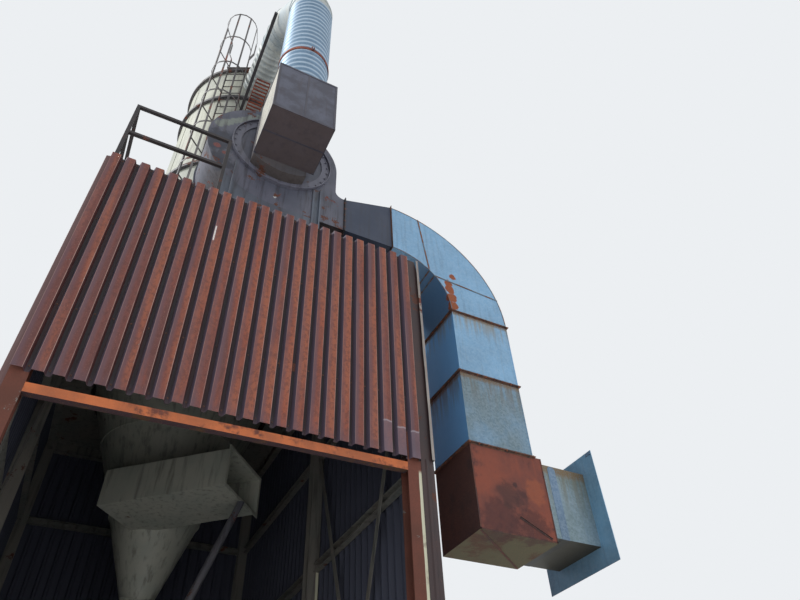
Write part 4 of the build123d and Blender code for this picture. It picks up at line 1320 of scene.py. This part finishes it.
@dataclass
class SquareDuct(Assembly):
    """The discharge duct: transition, bend, drop, turning box, branch and wall plate."""

    wall: float = 0.004
    throat: float = 0.870
    bend_steps: int = 48
    bend_joints: tuple[Pair, ...] = ((75.0, 48.5), (16.5, 41.5))
    break_depth: float = 0.006
    panel_steps: int = 8
    seam_width: float = 0.012
    seam_height: float = 0.003
    seam_gap: float = 0.002
    seam_over: float = 0.006
    seam_steps: int = 40
    bead: float = 0.010
    bolt_size: float = 0.014
    bolt_gap: float = 0.13
    bolt_inset: float = 0.06
    bolt_share: float = 0.55
    outlet_bolts: tuple[int, int] = (5, 6)
    frame_reach: float = 0.026
    frame_plate: float = 0.006
    drop_leg: float = 0.024
    bend_leg: float = 0.012
    outlet_leg: float = 0.020
    outlet_ceiling: float = 8.970
    fold: float = 0.016
    under_seam: Pair = (0.012, 0.002)
    under_inset: float = 0.02
    angle_ends: tuple[Pair, Pair] = ((0.537, 0.213), (0.926, 0.028))
    angle_flat: Pair = (0.011, 0.002)
    angle_leg: Pair = (0.001, 0.012)
    angle_shift: float = 0.010
    slip: Pair = (0.07, 0.18)
    slip_crown: float = 0.004
    slip_steps: int = 10
    tab: float = 0.045
    tab_inset: float = 0.05
    near_face: float = 0.16

    def __post_init__(self) -> None:
        """Works out where the bolts stand on the frames."""
        self.bolt_reach = self.frame_reach * self.bolt_share

    def panel_ring(self, low: Vector, high: Vector, level: float, inset: float) -> list[Vector]:
        """Returns one ring round a cross-broken duct length.

        Args:
            low: The length's lowest corner.
            high: The length's highest corner.
            level: How far up the ring is, from -1 to 1.
            inset: How far it lies inside the outer face.

        Returns:
            The ring's points.
        """
        rise = low.z + (high.z - low.z) * (level + 1.0) / 2.0
        starts = at_z(rise, rectangle(low.x, high.x, low.y, high.y))
        wide, deep = high.x - low.x, high.y - low.y
        sides = ((RIGHT, wide, FRONT), (BACK, deep, RIGHT), (LEFT, wide, BACK), (FRONT, deep, LEFT))
        points = []
        for start, (way, length, outward) in zip(starts, sides):
            points.append(start + way * inset - outward * inset)
            for k in range(1, self.panel_steps):
                across = 2.0 * k / self.panel_steps - 1.0
                lift = self.break_depth * (1.0 - max(abs(across), abs(level)))
                points.append(start + way * (length * k / self.panel_steps) + outward * (lift - inset))
        return points

    def drop(self, node: str, zinc: Material) -> None:
        """Makes one length of the drop duct, its panels creased from corner to corner.

        Args:
            node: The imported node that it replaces.
            zinc: Its finish.
        """
        low, high = corners_of(node)
        levels = spread(-1.0, 1.0, self.panel_steps)
        rows = [self.panel_ring(low, high, level, 0.0) for level in levels]
        rows += [self.panel_ring(low, high, level, self.wall) for level in reversed(levels)]
        builder = Builder()
        builder.skin(rows, around=True, along=True)
        for x, way in ((low.x, RIGHT), (high.x, LEFT)):
            for y, outward in front_and_back(low, high):
                wide, thick = way * (self.seam_width / 2), outward * (self.seam_height / 2)
                foot = Vector((x, y, low.z + self.seam_gap)) + wide + thick
                builder.bar(foot, foot + UP * (high.z - low.z - 2 * self.seam_gap), wide, thick)
        builder.finish(f"{node}_panels", zinc, Slot.ZINC, (node,))

    def frame(self, builder: Builder, corners: Sequence[Vector], away: Vector, leg: float) -> None:
        """Adds an angle frame round a duct.

        Args:
            builder: The piece that it becomes part of.
            corners: The duct's four corners at the frame's outer face, in order round the duct.
            away: The way from the outer face along the leg, of length 1.
            leg: How far the leg runs along the duct.
        """
        reach, plate = self.frame_reach, self.frame_plate
        section = ((0.0, 0.0), (reach, 0.0), (reach, plate), (plate / 2, plate), (plate / 2, leg), (0.0, leg))
        spreads = []
        for number, corner in enumerate(corners):
            before, after = corners[number - 1], corners[(number + 1) % 4]
            spreads.append((corner - before).normalized() + (corner - after).normalized())
        rows = []
        for out, along in section:
            rows.append([corner + way * out + away * along for corner, way in zip(corners, spreads)])
        builder.skin(rows, around=True, along=True)

    def flanges(self, rusty: Material, dark: Material) -> None:
        """Makes the angle frames at the duct's joints, with their bolts.

        Args:
            rusty: The finish of the frames along the drop and the bend.
            dark: The finish of the frame at the fan's outlet.
        """
        low, high = corners_of("upper_drop_duct")
        joint = corners_of("lower_drop_duct")[0].z
        frames, outlet, bolts = Builder(), Builder(), Builder()
        base, spots = rectangle(low.x, high.x, low.y, high.y), self.frame_spots(low, high)
        for level, ways in ((high.z, (DOWN,)), (low.z, (UP, DOWN)), (joint, (UP, DOWN))):
            for way in ways:
                self.frame(frames, at_z(level, base), way, self.drop_leg)
                for spot in at_z(level + way.z * self.frame_plate, spots):
                    bolts.bolt(spot, way, self.bolt_size)
        start, end = corners_of("outlet_transition")
        bend_foot = corners_of("elbow_cheeks")[1].z - (high.x - low.x)
        base = rectangle(start.y, end.y, bend_foot, end.z)
        self.frame(frames, at_x(end.x, base), LEFT, self.bend_leg)
        frames.finish("duct_frames", rusty, Slot.RUSTY, ("duct_flanges",))
        ceiling, reach = self.outlet_ceiling, self.bolt_reach
        base = rectangle(start.y, end.y, start.z, ceiling)
        high_count, wide_count = self.outlet_bolts
        rises = [start.z + self.bolt_inset + self.bolt_gap * k for k in range(high_count)]
        places = [start.y + self.bolt_inset + self.bolt_gap * k for k in range(wide_count)]
        spots = [(y, z) for z in rises for y in (start.y - reach, end.y + reach)]
        spots += [(y, z) for y in places for z in (start.z - reach, ceiling + reach)]
        for way in (LEFT, RIGHT):
            self.frame(outlet, at_x(start.x, base), way, self.outlet_leg)
            for spot in at_x(start.x + way.x * self.frame_plate, spots):
                bolts.bolt(spot, way, self.bolt_size)
        outlet.finish("outlet_frame", dark, Slot.DARK)
        bolts.finish("duct_bolts", RustFinish("duct bolt rust", size=0.03).make(), Slot.RUSTY)

    def frame_spots(self, low: Vector, high: Vector) -> list[Pair]:
        """Returns the places of the bolts round a level frame.

        Args:
            low: The duct's lowest corner.
            high: The duct's highest corner.

        Returns:
            X and Y of each bolt.
        """
        reach, gap = self.bolt_reach, self.bolt_gap
        across = spread(low.x, high.x, max(2, round((high.x - low.x) / gap)))
        back = spread(low.y, high.y, max(2, round((high.y - low.y) / gap)))[1:-1]
        spots = [(x, y) for x in across for y in (low.y - reach, high.y + reach)]
        return spots + [(x, y) for y in back for x in (low.x - reach, high.x + reach)]

    def bend_sheets(self, zinc: Material) -> None:
        """Makes the bend's cheeks, throat and heel as one smooth duct."""
        low, high = corners_of("elbow_cheeks")
        heel, wall = high.x - low.x, self.wall
        rows = []
        for c, s in arc(0.0, math.pi / 2, self.bend_steps):
            rings = []
            for near, far, front, back in (
                (self.throat, heel, low.y, high.y),
                (self.throat + wall, heel - wall, low.y + wall, high.y - wall),
            ):
                corners = ((near, front), (far, front), (far, back), (near, back))
                rings.append([Vector((low.x + reach * c, y, low.z + reach * s)) for reach, y in corners])
            rows.append(rings)
        builder = Builder()
        for corner in range(4):
            mate = (corner + 1) % 4
            edge = [[outer[corner], outer[mate], inner[mate], inner[corner]] for outer, inner in rows]
            builder.skin([row[:2] for row in edge])
            builder.skin([row[2:] for row in edge])
            builder.faces.append(tuple(reversed(builder.ring(edge[0]))))
            builder.faces.append(tuple(builder.ring(edge[-1])))
        builder.finish("bend_sheets", zinc, Slot.ZINC, ("discharge_elbow", "elbow_cheeks"))

    def bend_seams(self, zinc: Material) -> None:
        """Adds the raised seams between the bend's pieces, and its corner seams."""
        low, high = corners_of("elbow_cheeks")
        throat, heel = self.throat, high.x - low.x
        width, height, bead = self.seam_width, self.seam_height, self.bead
        centre = Vector((low.x, 0.0, low.z))
        builder = Builder()
        for joint in self.bend_joints:
            arms = [Vector((math.cos(turn), 0.0, math.sin(turn))) for turn in map(math.radians, joint)]
            far, near = centre + arms[0] * heel, centre + arms[1] * throat
            side = (far - near).normalized().cross(BACK) * bead
            for y, outward in front_and_back(low, high):
                shift = Vector((0.0, y, 0.0)) + outward * height
                builder.bar(near + shift, far + shift, side, outward * height)
            for arm, reach in ((arms[0], heel + height), (arms[1], throat - height)):
                places = (low.y - self.seam_over, high.y + self.seam_over)
                ends = [centre + arm * reach + BACK * y for y in places]
                builder.bar(*ends, arm.cross(BACK) * bead, arm * height)
        for radius, step in ((heel, -width), (throat, width)):
            for y, outward in front_and_back(low, high):
                rows = []
                for c, s in arc(0.0, math.pi / 2, self.seam_steps):
                    foot = centre + Vector((c, 0.0, s)) * radius + BACK * y
                    inner, up = foot + Vector((c, 0.0, s)) * step, outward * height
                    rows.append([foot, foot + up, inner + up, inner])
                builder.solid(rows)
        builder.finish("bend_seams", zinc, Slot.ZINC)

    def turning_seams(self, rusty: Material, scale: Material) -> None:
        """Adds the turning box's folded edges, the diagonal seam under it and the angle on its front.

        Args:
            rusty: The finish of the edges and the seam.
            scale: The finish of the angle.
        """
        low, high = corners_of("turning_box")
        builder, angle = Builder(), Builder()
        half, thick = self.fold / 2, self.seam_height / 2
        for y, outward in front_and_back(low, high):
            shift = outward * thick
            for x in (low.x + half, high.x - half):
                start = Vector((x, y, low.z)) + shift
                builder.bar(start, start + UP * (high.z - low.z), RIGHT * half, shift)
            start = Vector((low.x, y, low.z + half)) + shift
            builder.bar(start, start + RIGHT * (high.x - low.x), UP * half, shift)
        inset, (wide, thick) = self.under_inset, self.under_seam
        near = Vector((low.x + inset, low.y + inset, low.z - thick))
        far = Vector((high.x - inset, high.y - inset, low.z - thick))
        builder.bar(near, far, (far - near).normalized().cross(UP) * wide, UP * thick)
        builder.finish("turning_box_seams", rusty, Slot.RUSTY_DUCT)
        wide, thick = self.angle_flat
        near, far = [Vector((low.x + x, low.y - thick, low.z + z)) for x, z in self.angle_ends]
        side = (far - near).normalized().cross(BACK)
        angle.bar(near, far, side * wide, FRONT * thick)
        shift, (thin, deep) = side * self.angle_shift, self.angle_leg
        angle.bar(near + shift, far + shift, side * thin, FRONT * deep)
        angle.finish("turning_box_angle", scale, Slot.RUSTY)

    def branch_strip(self, zinc: Material) -> None:
        """Adds the slip joint's strip on the branch, rounded at its top, and the wall plate's bent tabs."""
        low, high = corners_of("branch_duct")
        left, right = (low.x + place for place in self.slip)
        middle, half, thick = (left + right) / 2, (right - left) / 2, self.seam_height
        points = [(left, low.z), (right, low.z)]
        crown = half - self.slip_crown
        turns = arc(0.0, math.pi, self.slip_steps)
        points += [(middle + half * c, high.z - half + crown * s) for c, s in turns]
        builder = Builder()
        for y, outward in front_and_back(low, high):
            builder.solid([at_y(face, points) for face in (y, y + outward.y * thick)])
        builder.block((left, low.y, low.z - thick), (right, high.y, low.z))
        low, high = corners_of("wall_flange")
        for y, outward in front_and_back(low, high):
            foot = Vector((low.x - thick, y - outward.y * self.tab_inset, high.z - self.tab_inset))
            builder.bar(foot, foot + UP * self.tab, BACK * self.tab, LEFT * thick)
        builder.finish("branch_slip_strip", zinc, Slot.ZINC)

    def build(self) -> None:
        """Makes the duct's pieces and finishes its nodes."""
        low, high = corners_of("upper_drop_duct")
        joints = (high.z, low.z, corners_of("lower_drop_duct")[0].z)
        # Painted shade: a strong sky blue for the drops' left faces.
        y, shaded = self.near_face, tone(106, 182, 244)
        throat_rust = (
            ((4.46, y, 7.97), 0.08),
            ((4.48, y, 7.83), 0.09),
            ((4.50, y, 7.68), 0.10),
            ((4.50, y, 7.54), 0.10),
            ((4.56, y, 8.12), 0.07),
        )
        # The bend and the drops take painted shade on their left faces; the blue tones are painted sky
        # reflection.
        bend = ZincFinish(
            "bend zinc", joints=(joints[0] + 0.02,), stain_drop=0.2, rust_spots=throat_rust
        ).make()
        upper = ZincFinish(
            "upper drop zinc", joints=joints[:2], stain_drop=0.45, cloudiness=0.8, left_painted_shade_tone=shaded
        ).make()
        lower = ZincFinish(
            "lower drop zinc", tone(106, 138, 162), tone(98, 116, 122), joints=joints[1:], stain_drop=0.6,
            stain=tone(104, 92, 68), cloudiness=0.9, left_painted_shade_tone=shaded,
        ).make()
        # Painted shade on the downward faces of the branch, the wall plate and the strip.
        branch = ZincFinish(
            "branch zinc", tone(116, 136, 146), tone(98, 116, 116), stain=tone(112, 102, 66),
            under=tone(64, 60, 48), joints=(corners_of("branch_duct")[1].z,), stain_drop=0.8,
        ).make()
        plate = ZincFinish(
            "wall plate zinc", tone(124, 172, 200), tone(98, 128, 146), left_painted_shade=0.2, under=tone(48, 46, 44)
        ).make()
        strip = ZincFinish(
            "slip strip zinc", tone(98, 122, 146), tone(86, 106, 122), left_painted_shade=0.2, under=tone(58, 56, 50)
        ).make()
        box_marks = (
            ((4.75, y, 4.52), 0.34, tone(66, 34, 34)),
            ((5.20, y, 4.50), 0.28, tone(70, 36, 34)),
            ((4.92, y, 4.84), 0.22, tone(62, 38, 36)),
            ((5.02, y, 4.975), 0.04, tone(36, 28, 32)),
            ((5.30, y, 4.95), 0.20, tone(150, 80, 52)),
        )
        # Painted shade on the turning box's left and downward faces.
        rusty = RustFinish(
            "turning box rust", tone(132, 68, 50), tone(104, 58, 50), tone(74, 42, 40), size=0.3,
            left_painted_shade=tone(60, 46, 44), under=tone(92, 86, 60), spots=box_marks,
        ).make()
        edges = RustFinish("turning box seam rust", tone(96, 54, 42), tone(66, 42, 40), size=0.1).make()
        scale = RustFinish(
            "angle rust", tone(74, 48, 44), tone(58, 42, 42), tone(44, 34, 36), size=0.05
        ).make()
        frames = RustFinish(
            "flange rust", tone(104, 72, 56), tone(74, 54, 48), tone(50, 40, 40), size=0.06
        ).make()
        dark = PaintFinish(
            "transition paint", tone(40, 50, 70), tone(50, 58, 76), flaking=0.12, rusting=0.3, patch=0.18,
            dirt=tone(40, 42, 52), dirtiness=0.4,
        ).make()
        outlet = PaintFinish(
            "outlet frame paint", tone(40, 38, 44), tone(54, 52, 58), flaking=0.3, rusting=0.4
        ).make()
        seam = PaintFinish(
            "seam zinc", tone(104, 122, 134), tone(92, 100, 108), primer=tone(132, 88, 60),
            rust=tone(108, 74, 56), flaking=0.62, rusting=0.5, patch=0.12, roughness=0.6,
        ).make()
        self.drop("upper_drop_duct", upper)
        self.drop("lower_drop_duct", lower)
        self.flanges(frames, outlet)
        self.bend_sheets(bend)
        self.bend_seams(seam)
        self.turning_seams(edges, scale)
        self.branch_strip(strip)
        self.dress(branch, "branch_duct")
        self.dress(plate, "wall_flange")
        self.dress(rusty, "turning_box")
        self.dress(dark, "outlet_transition")


@dataclass
class RoundDuct(Assembly):
    """The clean-air duct: ribbed riser, gored bend and level run, with clamp, bars and rack."""

    bend_radius: float = 1.130
    lean: float = 30.0
    turn: float = 3.0
    lower_gores: int = 2
    upper_gores: int = 4
    return_z: float = 16.200
    wall: float = 0.003
    bead_pitch: float = 0.137
    bead: float = 0.010
    bead_steps: int = 10
    collar: float = 0.010
    collar_width: float = 0.020
    collar_slope: float = 0.002
    collar_crown: float = 0.001
    clamp_plate: float = 0.010
    sides: int = 72
    lug_gap: float = 0.008
    lug_plate: float = 0.010
    lug_reach: float = 0.036
    lug_root: float = 0.006
    lug_bolt: float = 0.016

    def __post_init__(self) -> None:
        """Reads the riser's place."""
        low, high = corners_of("riser_duct")
        self.radius = (high.x - low.x) / 2
        self.x, self.y = (low.x + high.x) / 2, (low.y + high.y) / 2
        self.foot, self.riser_top = low.z, high.z
        turn = Matrix.Rotation(math.radians(self.turn), 4, "Z")
        self.swing = Matrix.Translation((self.x, self.y, 0.0)) @ turn
        self.across = self.swing.to_3x3() @ RIGHT
        self.back = self.swing.to_3x3() @ BACK

    def arms(self, way: Vector) -> list[Vector]:
        """Returns the directions round a duct that runs a way, each of length 1."""
        up = way.cross(self.across)
        return [self.across * c + up * s for c, s in circle(self.sides)]

    def beaded(self, start: Vector, way: Vector, length: float, look: ZincFinish, node: str) -> None:
        """Makes a straight duct with its spiral corrugation.

        Args:
            start: The middle of its near end.
            way: The way it runs, of length 1.
            length: Its length.
            look: Its finish, before its ribs are known.
            node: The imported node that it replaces.
        """
        arms, trough = self.arms(way), self.radius - self.bead
        rows = []
        for run in spread(0.0, length, max(2, round(length / self.bead_pitch * self.bead_steps))):
            row = []
            for number, arm in enumerate(arms):
                lift = 0.5 + 0.5 * math.cos(math.tau * (run / self.bead_pitch - number / self.sides))
                row.append(start + way * run + arm * (trough + self.bead * lift))
            rows.append(row)
        for run in (length, 0.0):
            rows.append([start + way * run + arm * (trough - self.wall) for arm in arms])
        builder = Builder()
        builder.skin(rows, around=True, along=True)
        look = replace(look, name=f"{node} zinc", ribs=(tuple(start), tuple(way), trough, self.radius))
        builder.finish(f"{node}_spiral", look.make(), Slot.ZINC, (node,))

    def path(self) -> list[Vector]:
        """Returns the corners of the bend's middle line, from the riser to the level run."""
        turn, radius = math.radians(self.lean), self.bend_radius
        lower_y = radius * (1 - math.cos(turn))
        lower_z = self.riser_top + radius * math.sin(turn)
        upper_z = self.return_z - radius * (1 - math.sin(turn))
        upper_y = lower_y + (upper_z - lower_z) * math.tan(turn)
        upper_centre = (upper_y + radius * math.cos(turn), self.return_z - radius)
        points = [Vector((0.0, 0.0, self.riser_top))]
        for (y, z), start, end, gores in (
            ((radius, self.riser_top), 0.0, turn, self.lower_gores),
            (upper_centre, turn, math.pi / 2, self.upper_gores),
        ):
            step = (end - start) / gores
            corner = radius / math.cos(step / 2)
            for angle in (start + (k + 0.5) * step for k in range(gores)):
                points.append(Vector((0.0, y - corner * math.cos(angle), z + corner * math.sin(angle))))
        points.append(Vector((0.0, upper_centre[0], self.return_z)))
        return [self.swing @ point for point in points]

    def gored_bend(self, zinc: Material) -> None:
        """Makes the bend of straight pieces, with a raised collar at each joint."""
        points = self.path()
        ways = [(b - a).normalized() for a, b in zip(points[:-1], points[1:])]
        cuts = [ways[0], *((a + b).normalized() for a, b in zip(ways[:-1], ways[1:])), ways[-1]]
        radius, near = self.radius - self.bead, self.collar_width
        foot = (near + self.collar_slope, 0.0)
        half = ((0.0, self.collar - self.collar_crown), (near, self.collar), foot)
        outside, inside = [], []
        for k, way in enumerate(ways):
            for end, profile, inward in ((k, half, way), (k + 1, half[::-1], -way)):
                outer = self.mitre(points[end], way, cuts[end], radius)
                plain = end in (0, len(ways))
                for run, lift in profile:
                    raised = 0.0 if plain else lift
                    outside.append([spot + inward * run + arm * raised for arm, spot in outer])
                inner = self.mitre(points[end], way, cuts[end], radius - self.wall)
                inside.append([spot for _, spot in inner])
        builder = Builder()
        builder.skin(outside + inside[::-1], around=True, along=True)
        builder.finish("gored_bend", zinc, Slot.ZINC, ("return_bend",))

    def mitre(self, corner: Vector, way: Vector, cut: Vector, radius: float) -> list[tuple[Vector, Vector]]:
        """Returns the edge that a mitre cuts on a duct.

        Args:
            corner: The mitre's middle, on the duct's middle line.
            way: The way the duct runs, of length 1.
            cut: The mitre's direction.
            radius: The duct's radius.

        Returns:
            For each side of the duct, the way out to it and its place on the mitre.
        """
        edge = []
        for arm in self.arms(way):
            slip = radius * arm.dot(cut) / way.dot(cut)
            edge.append((arm, corner + arm * radius - way * slip))
        return edge

    def clamp(self, rusty: Material) -> None:
        """Makes the clamp round the riser, with its two lugs and bolt."""
        low, high = corners_of("riser_clamp_ring")
        outer, inner = self.radius + self.clamp_plate, self.radius - self.bead
        builder = Builder()
        axis = Matrix.Translation((self.x, self.y, 0.0))
        builder.turned(axis, rectangle(inner, outer, low.z, high.z), self.sides)
        face = self.y - outer
        for side in (-1, 1):
            near, far = self.x + side * self.lug_gap, self.x + side * (self.lug_gap + self.lug_plate)
            left, right = sorted((near, far))
            builder.block((left, face - self.lug_reach, low.z), (right, face + self.lug_root, high.z))
            spot = Vector((far, face - self.lug_reach * 2 / 3, (low.z + high.z) / 2))
            builder.bolt(spot, RIGHT * side, self.lug_bolt)
        builder.finish("riser_clamp", rusty, Slot.RUSTY, ("riser_clamp_ring",))

    def build(self) -> None:
        """Makes the duct's pieces and finishes its nodes."""
        # Painted light: the riser's blue zinc stands in for sky reflected on metal in shade, and the level
        # run's cream zinc for sunlight on the same metal; both take painted rib highlights.
        riser = ZincFinish("riser zinc", tone(112, 142, 168), tone(88, 118, 142), left_painted_shade=0.0, roughness=0.36)
        level_run = ZincFinish(
            "level run zinc", tone(176, 176, 166), tone(146, 148, 142), left_painted_shade=0.0, roughness=0.4,
            painted_rib_contrast=0.25,
        )
        rusty = RustFinish(
            "rack rust", tone(142, 70, 46), tone(104, 52, 42), tone(62, 38, 36), size=0.06
        ).make()
        dark = PaintFinish("outrigger paint", tone(40, 38, 42), tone(56, 52, 54), rusting=0.4).make()
        self.beaded(Vector((self.x, self.y, self.foot)), UP, self.riser_top - self.foot, riser, "riser_duct")
        self.gored_bend(replace(level_run, name="gored bend zinc", dull=tone(128, 146, 160)).make())
        start = self.path()[-1]
        length = (corners_of("return_duct")[1].y - start.y) / self.back.y
        self.beaded(start, self.back, length, level_run, "return_duct")
        self.clamp(rusty)
        self.dress(rusty, "duct_rack")
        self.dress(dark, "duct_outriggers")


@dataclass
class Studio:
    """Floor, lights, world and camera."""

    floor_tone: Colour = tone(226, 226, 224)
    floor_reach: float = 60.0
    sky_tone: Colour = tone(236, 239, 242)
    light_tone: Colour = tone(232, 238, 246)
    sky_strength: float = 0.86
    eye: Triple = (0.740, -5.030, 1.600)
    right: Triple = (0.8883, -0.4575, -0.0403)
    down: Triple = (0.2910, 0.6287, -0.7211)
    ahead: Triple = (0.3553, 0.6288, 0.6916)
    focal_pixels: float = 634.68
    picture_width: float = 800.0
    sensor: float = 36.0

    def floor(self) -> None:
        """Makes the plain pale floor."""
        reach = self.floor_reach
        mesh = bpy.data.meshes.new("studio_floor")
        mesh.from_pydata(at_z(0.0, rectangle(-reach, reach, -reach, reach)), [], [(0, 1, 2, 3)])
        mesh.materials.append(Recipe("studio floor", self.floor_tone).close(0.9))
        floor = bpy.data.objects.new("studio_floor", mesh)
        bpy.context.scene.collection.objects.link(floor)

    def lights(self) -> None:
        """Makes the even sky, a soft key light from the left and a weak fill light."""
        world = bpy.data.worlds.new("studio sky")
        bpy.context.scene.world = world
        world.use_nodes = True
        tree = world.node_tree
        tree.nodes.clear()
        paths = add_node(tree, "LightPath", {}).outputs
        rays = paths["Is Camera Ray"]
        for more in (paths["Is Glossy Ray"], paths["Is Transmission Ray"]):
            rays = add_node(tree, "Math", {0: rays, 1: more}, operation="MAXIMUM").outputs[0]
        light = {"Color": self.light_tone, "Strength": self.sky_strength}
        around = add_node(tree, "Background", light).outputs[0]
        seen = add_node(tree, "Background", {"Color": self.sky_tone}).outputs[0]
        choice = add_node(tree, "MixShader", {0: rays, 1: around, 2: seen}).outputs[0]
        add_node(tree, "OutputWorld", {0: choice})
        for name, way, power, angle in (
            ("key_light", Vector((0.78, -0.06, -0.62)), 2.6, 10.0),
            ("fill_light", Vector((-0.35, 0.85, -0.30)), 0.25, 60.0),
        ):
            lamp = bpy.data.lights.new(name, "SUN")
            lamp.energy = power
            lamp.angle = math.radians(angle)
            body = bpy.data.objects.new(name, lamp)
            body.rotation_euler = way.to_track_quat("-Z", "Y").to_euler()
            bpy.context.scene.collection.objects.link(body)

    def camera(self) -> None:
        """Makes the camera at the photograph's viewpoint."""
        lens = bpy.data.cameras.new("camera")
        lens.sensor_fit = "HORIZONTAL"
        lens.sensor_width = self.sensor
        lens.lens = self.focal_pixels / self.picture_width * self.sensor
        lens.clip_end = 500.0
        body = bpy.data.objects.new("camera", lens)
        turn = Matrix((Vector(self.right), -Vector(self.down), -Vector(self.ahead))).transposed().to_4x4()
        body.matrix_world = Matrix.Translation(self.eye) @ turn
        bpy.context.scene.collection.objects.link(body)
        bpy.context.scene.camera = body

    def build(self) -> None:
        """Makes the whole studio."""
        bpy.context.scene.view_settings.view_transform = "Standard"
        self.floor()
        self.lights()
        self.camera()


def main() -> None:
    """Builds the whole scene in order."""
    logging.basicConfig(level=logging.INFO, format="%(name)s %(message)s")
    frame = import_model()
    Studio().build()
    for assembly in (Tower, Sheeting, FilterHouse, Fan, SquareDuct, RoundDuct):
        LOG.info("building %s", assembly.__name__)
        assembly(frame["nodes"]).build()


if __name__ == "__main__":
    main()
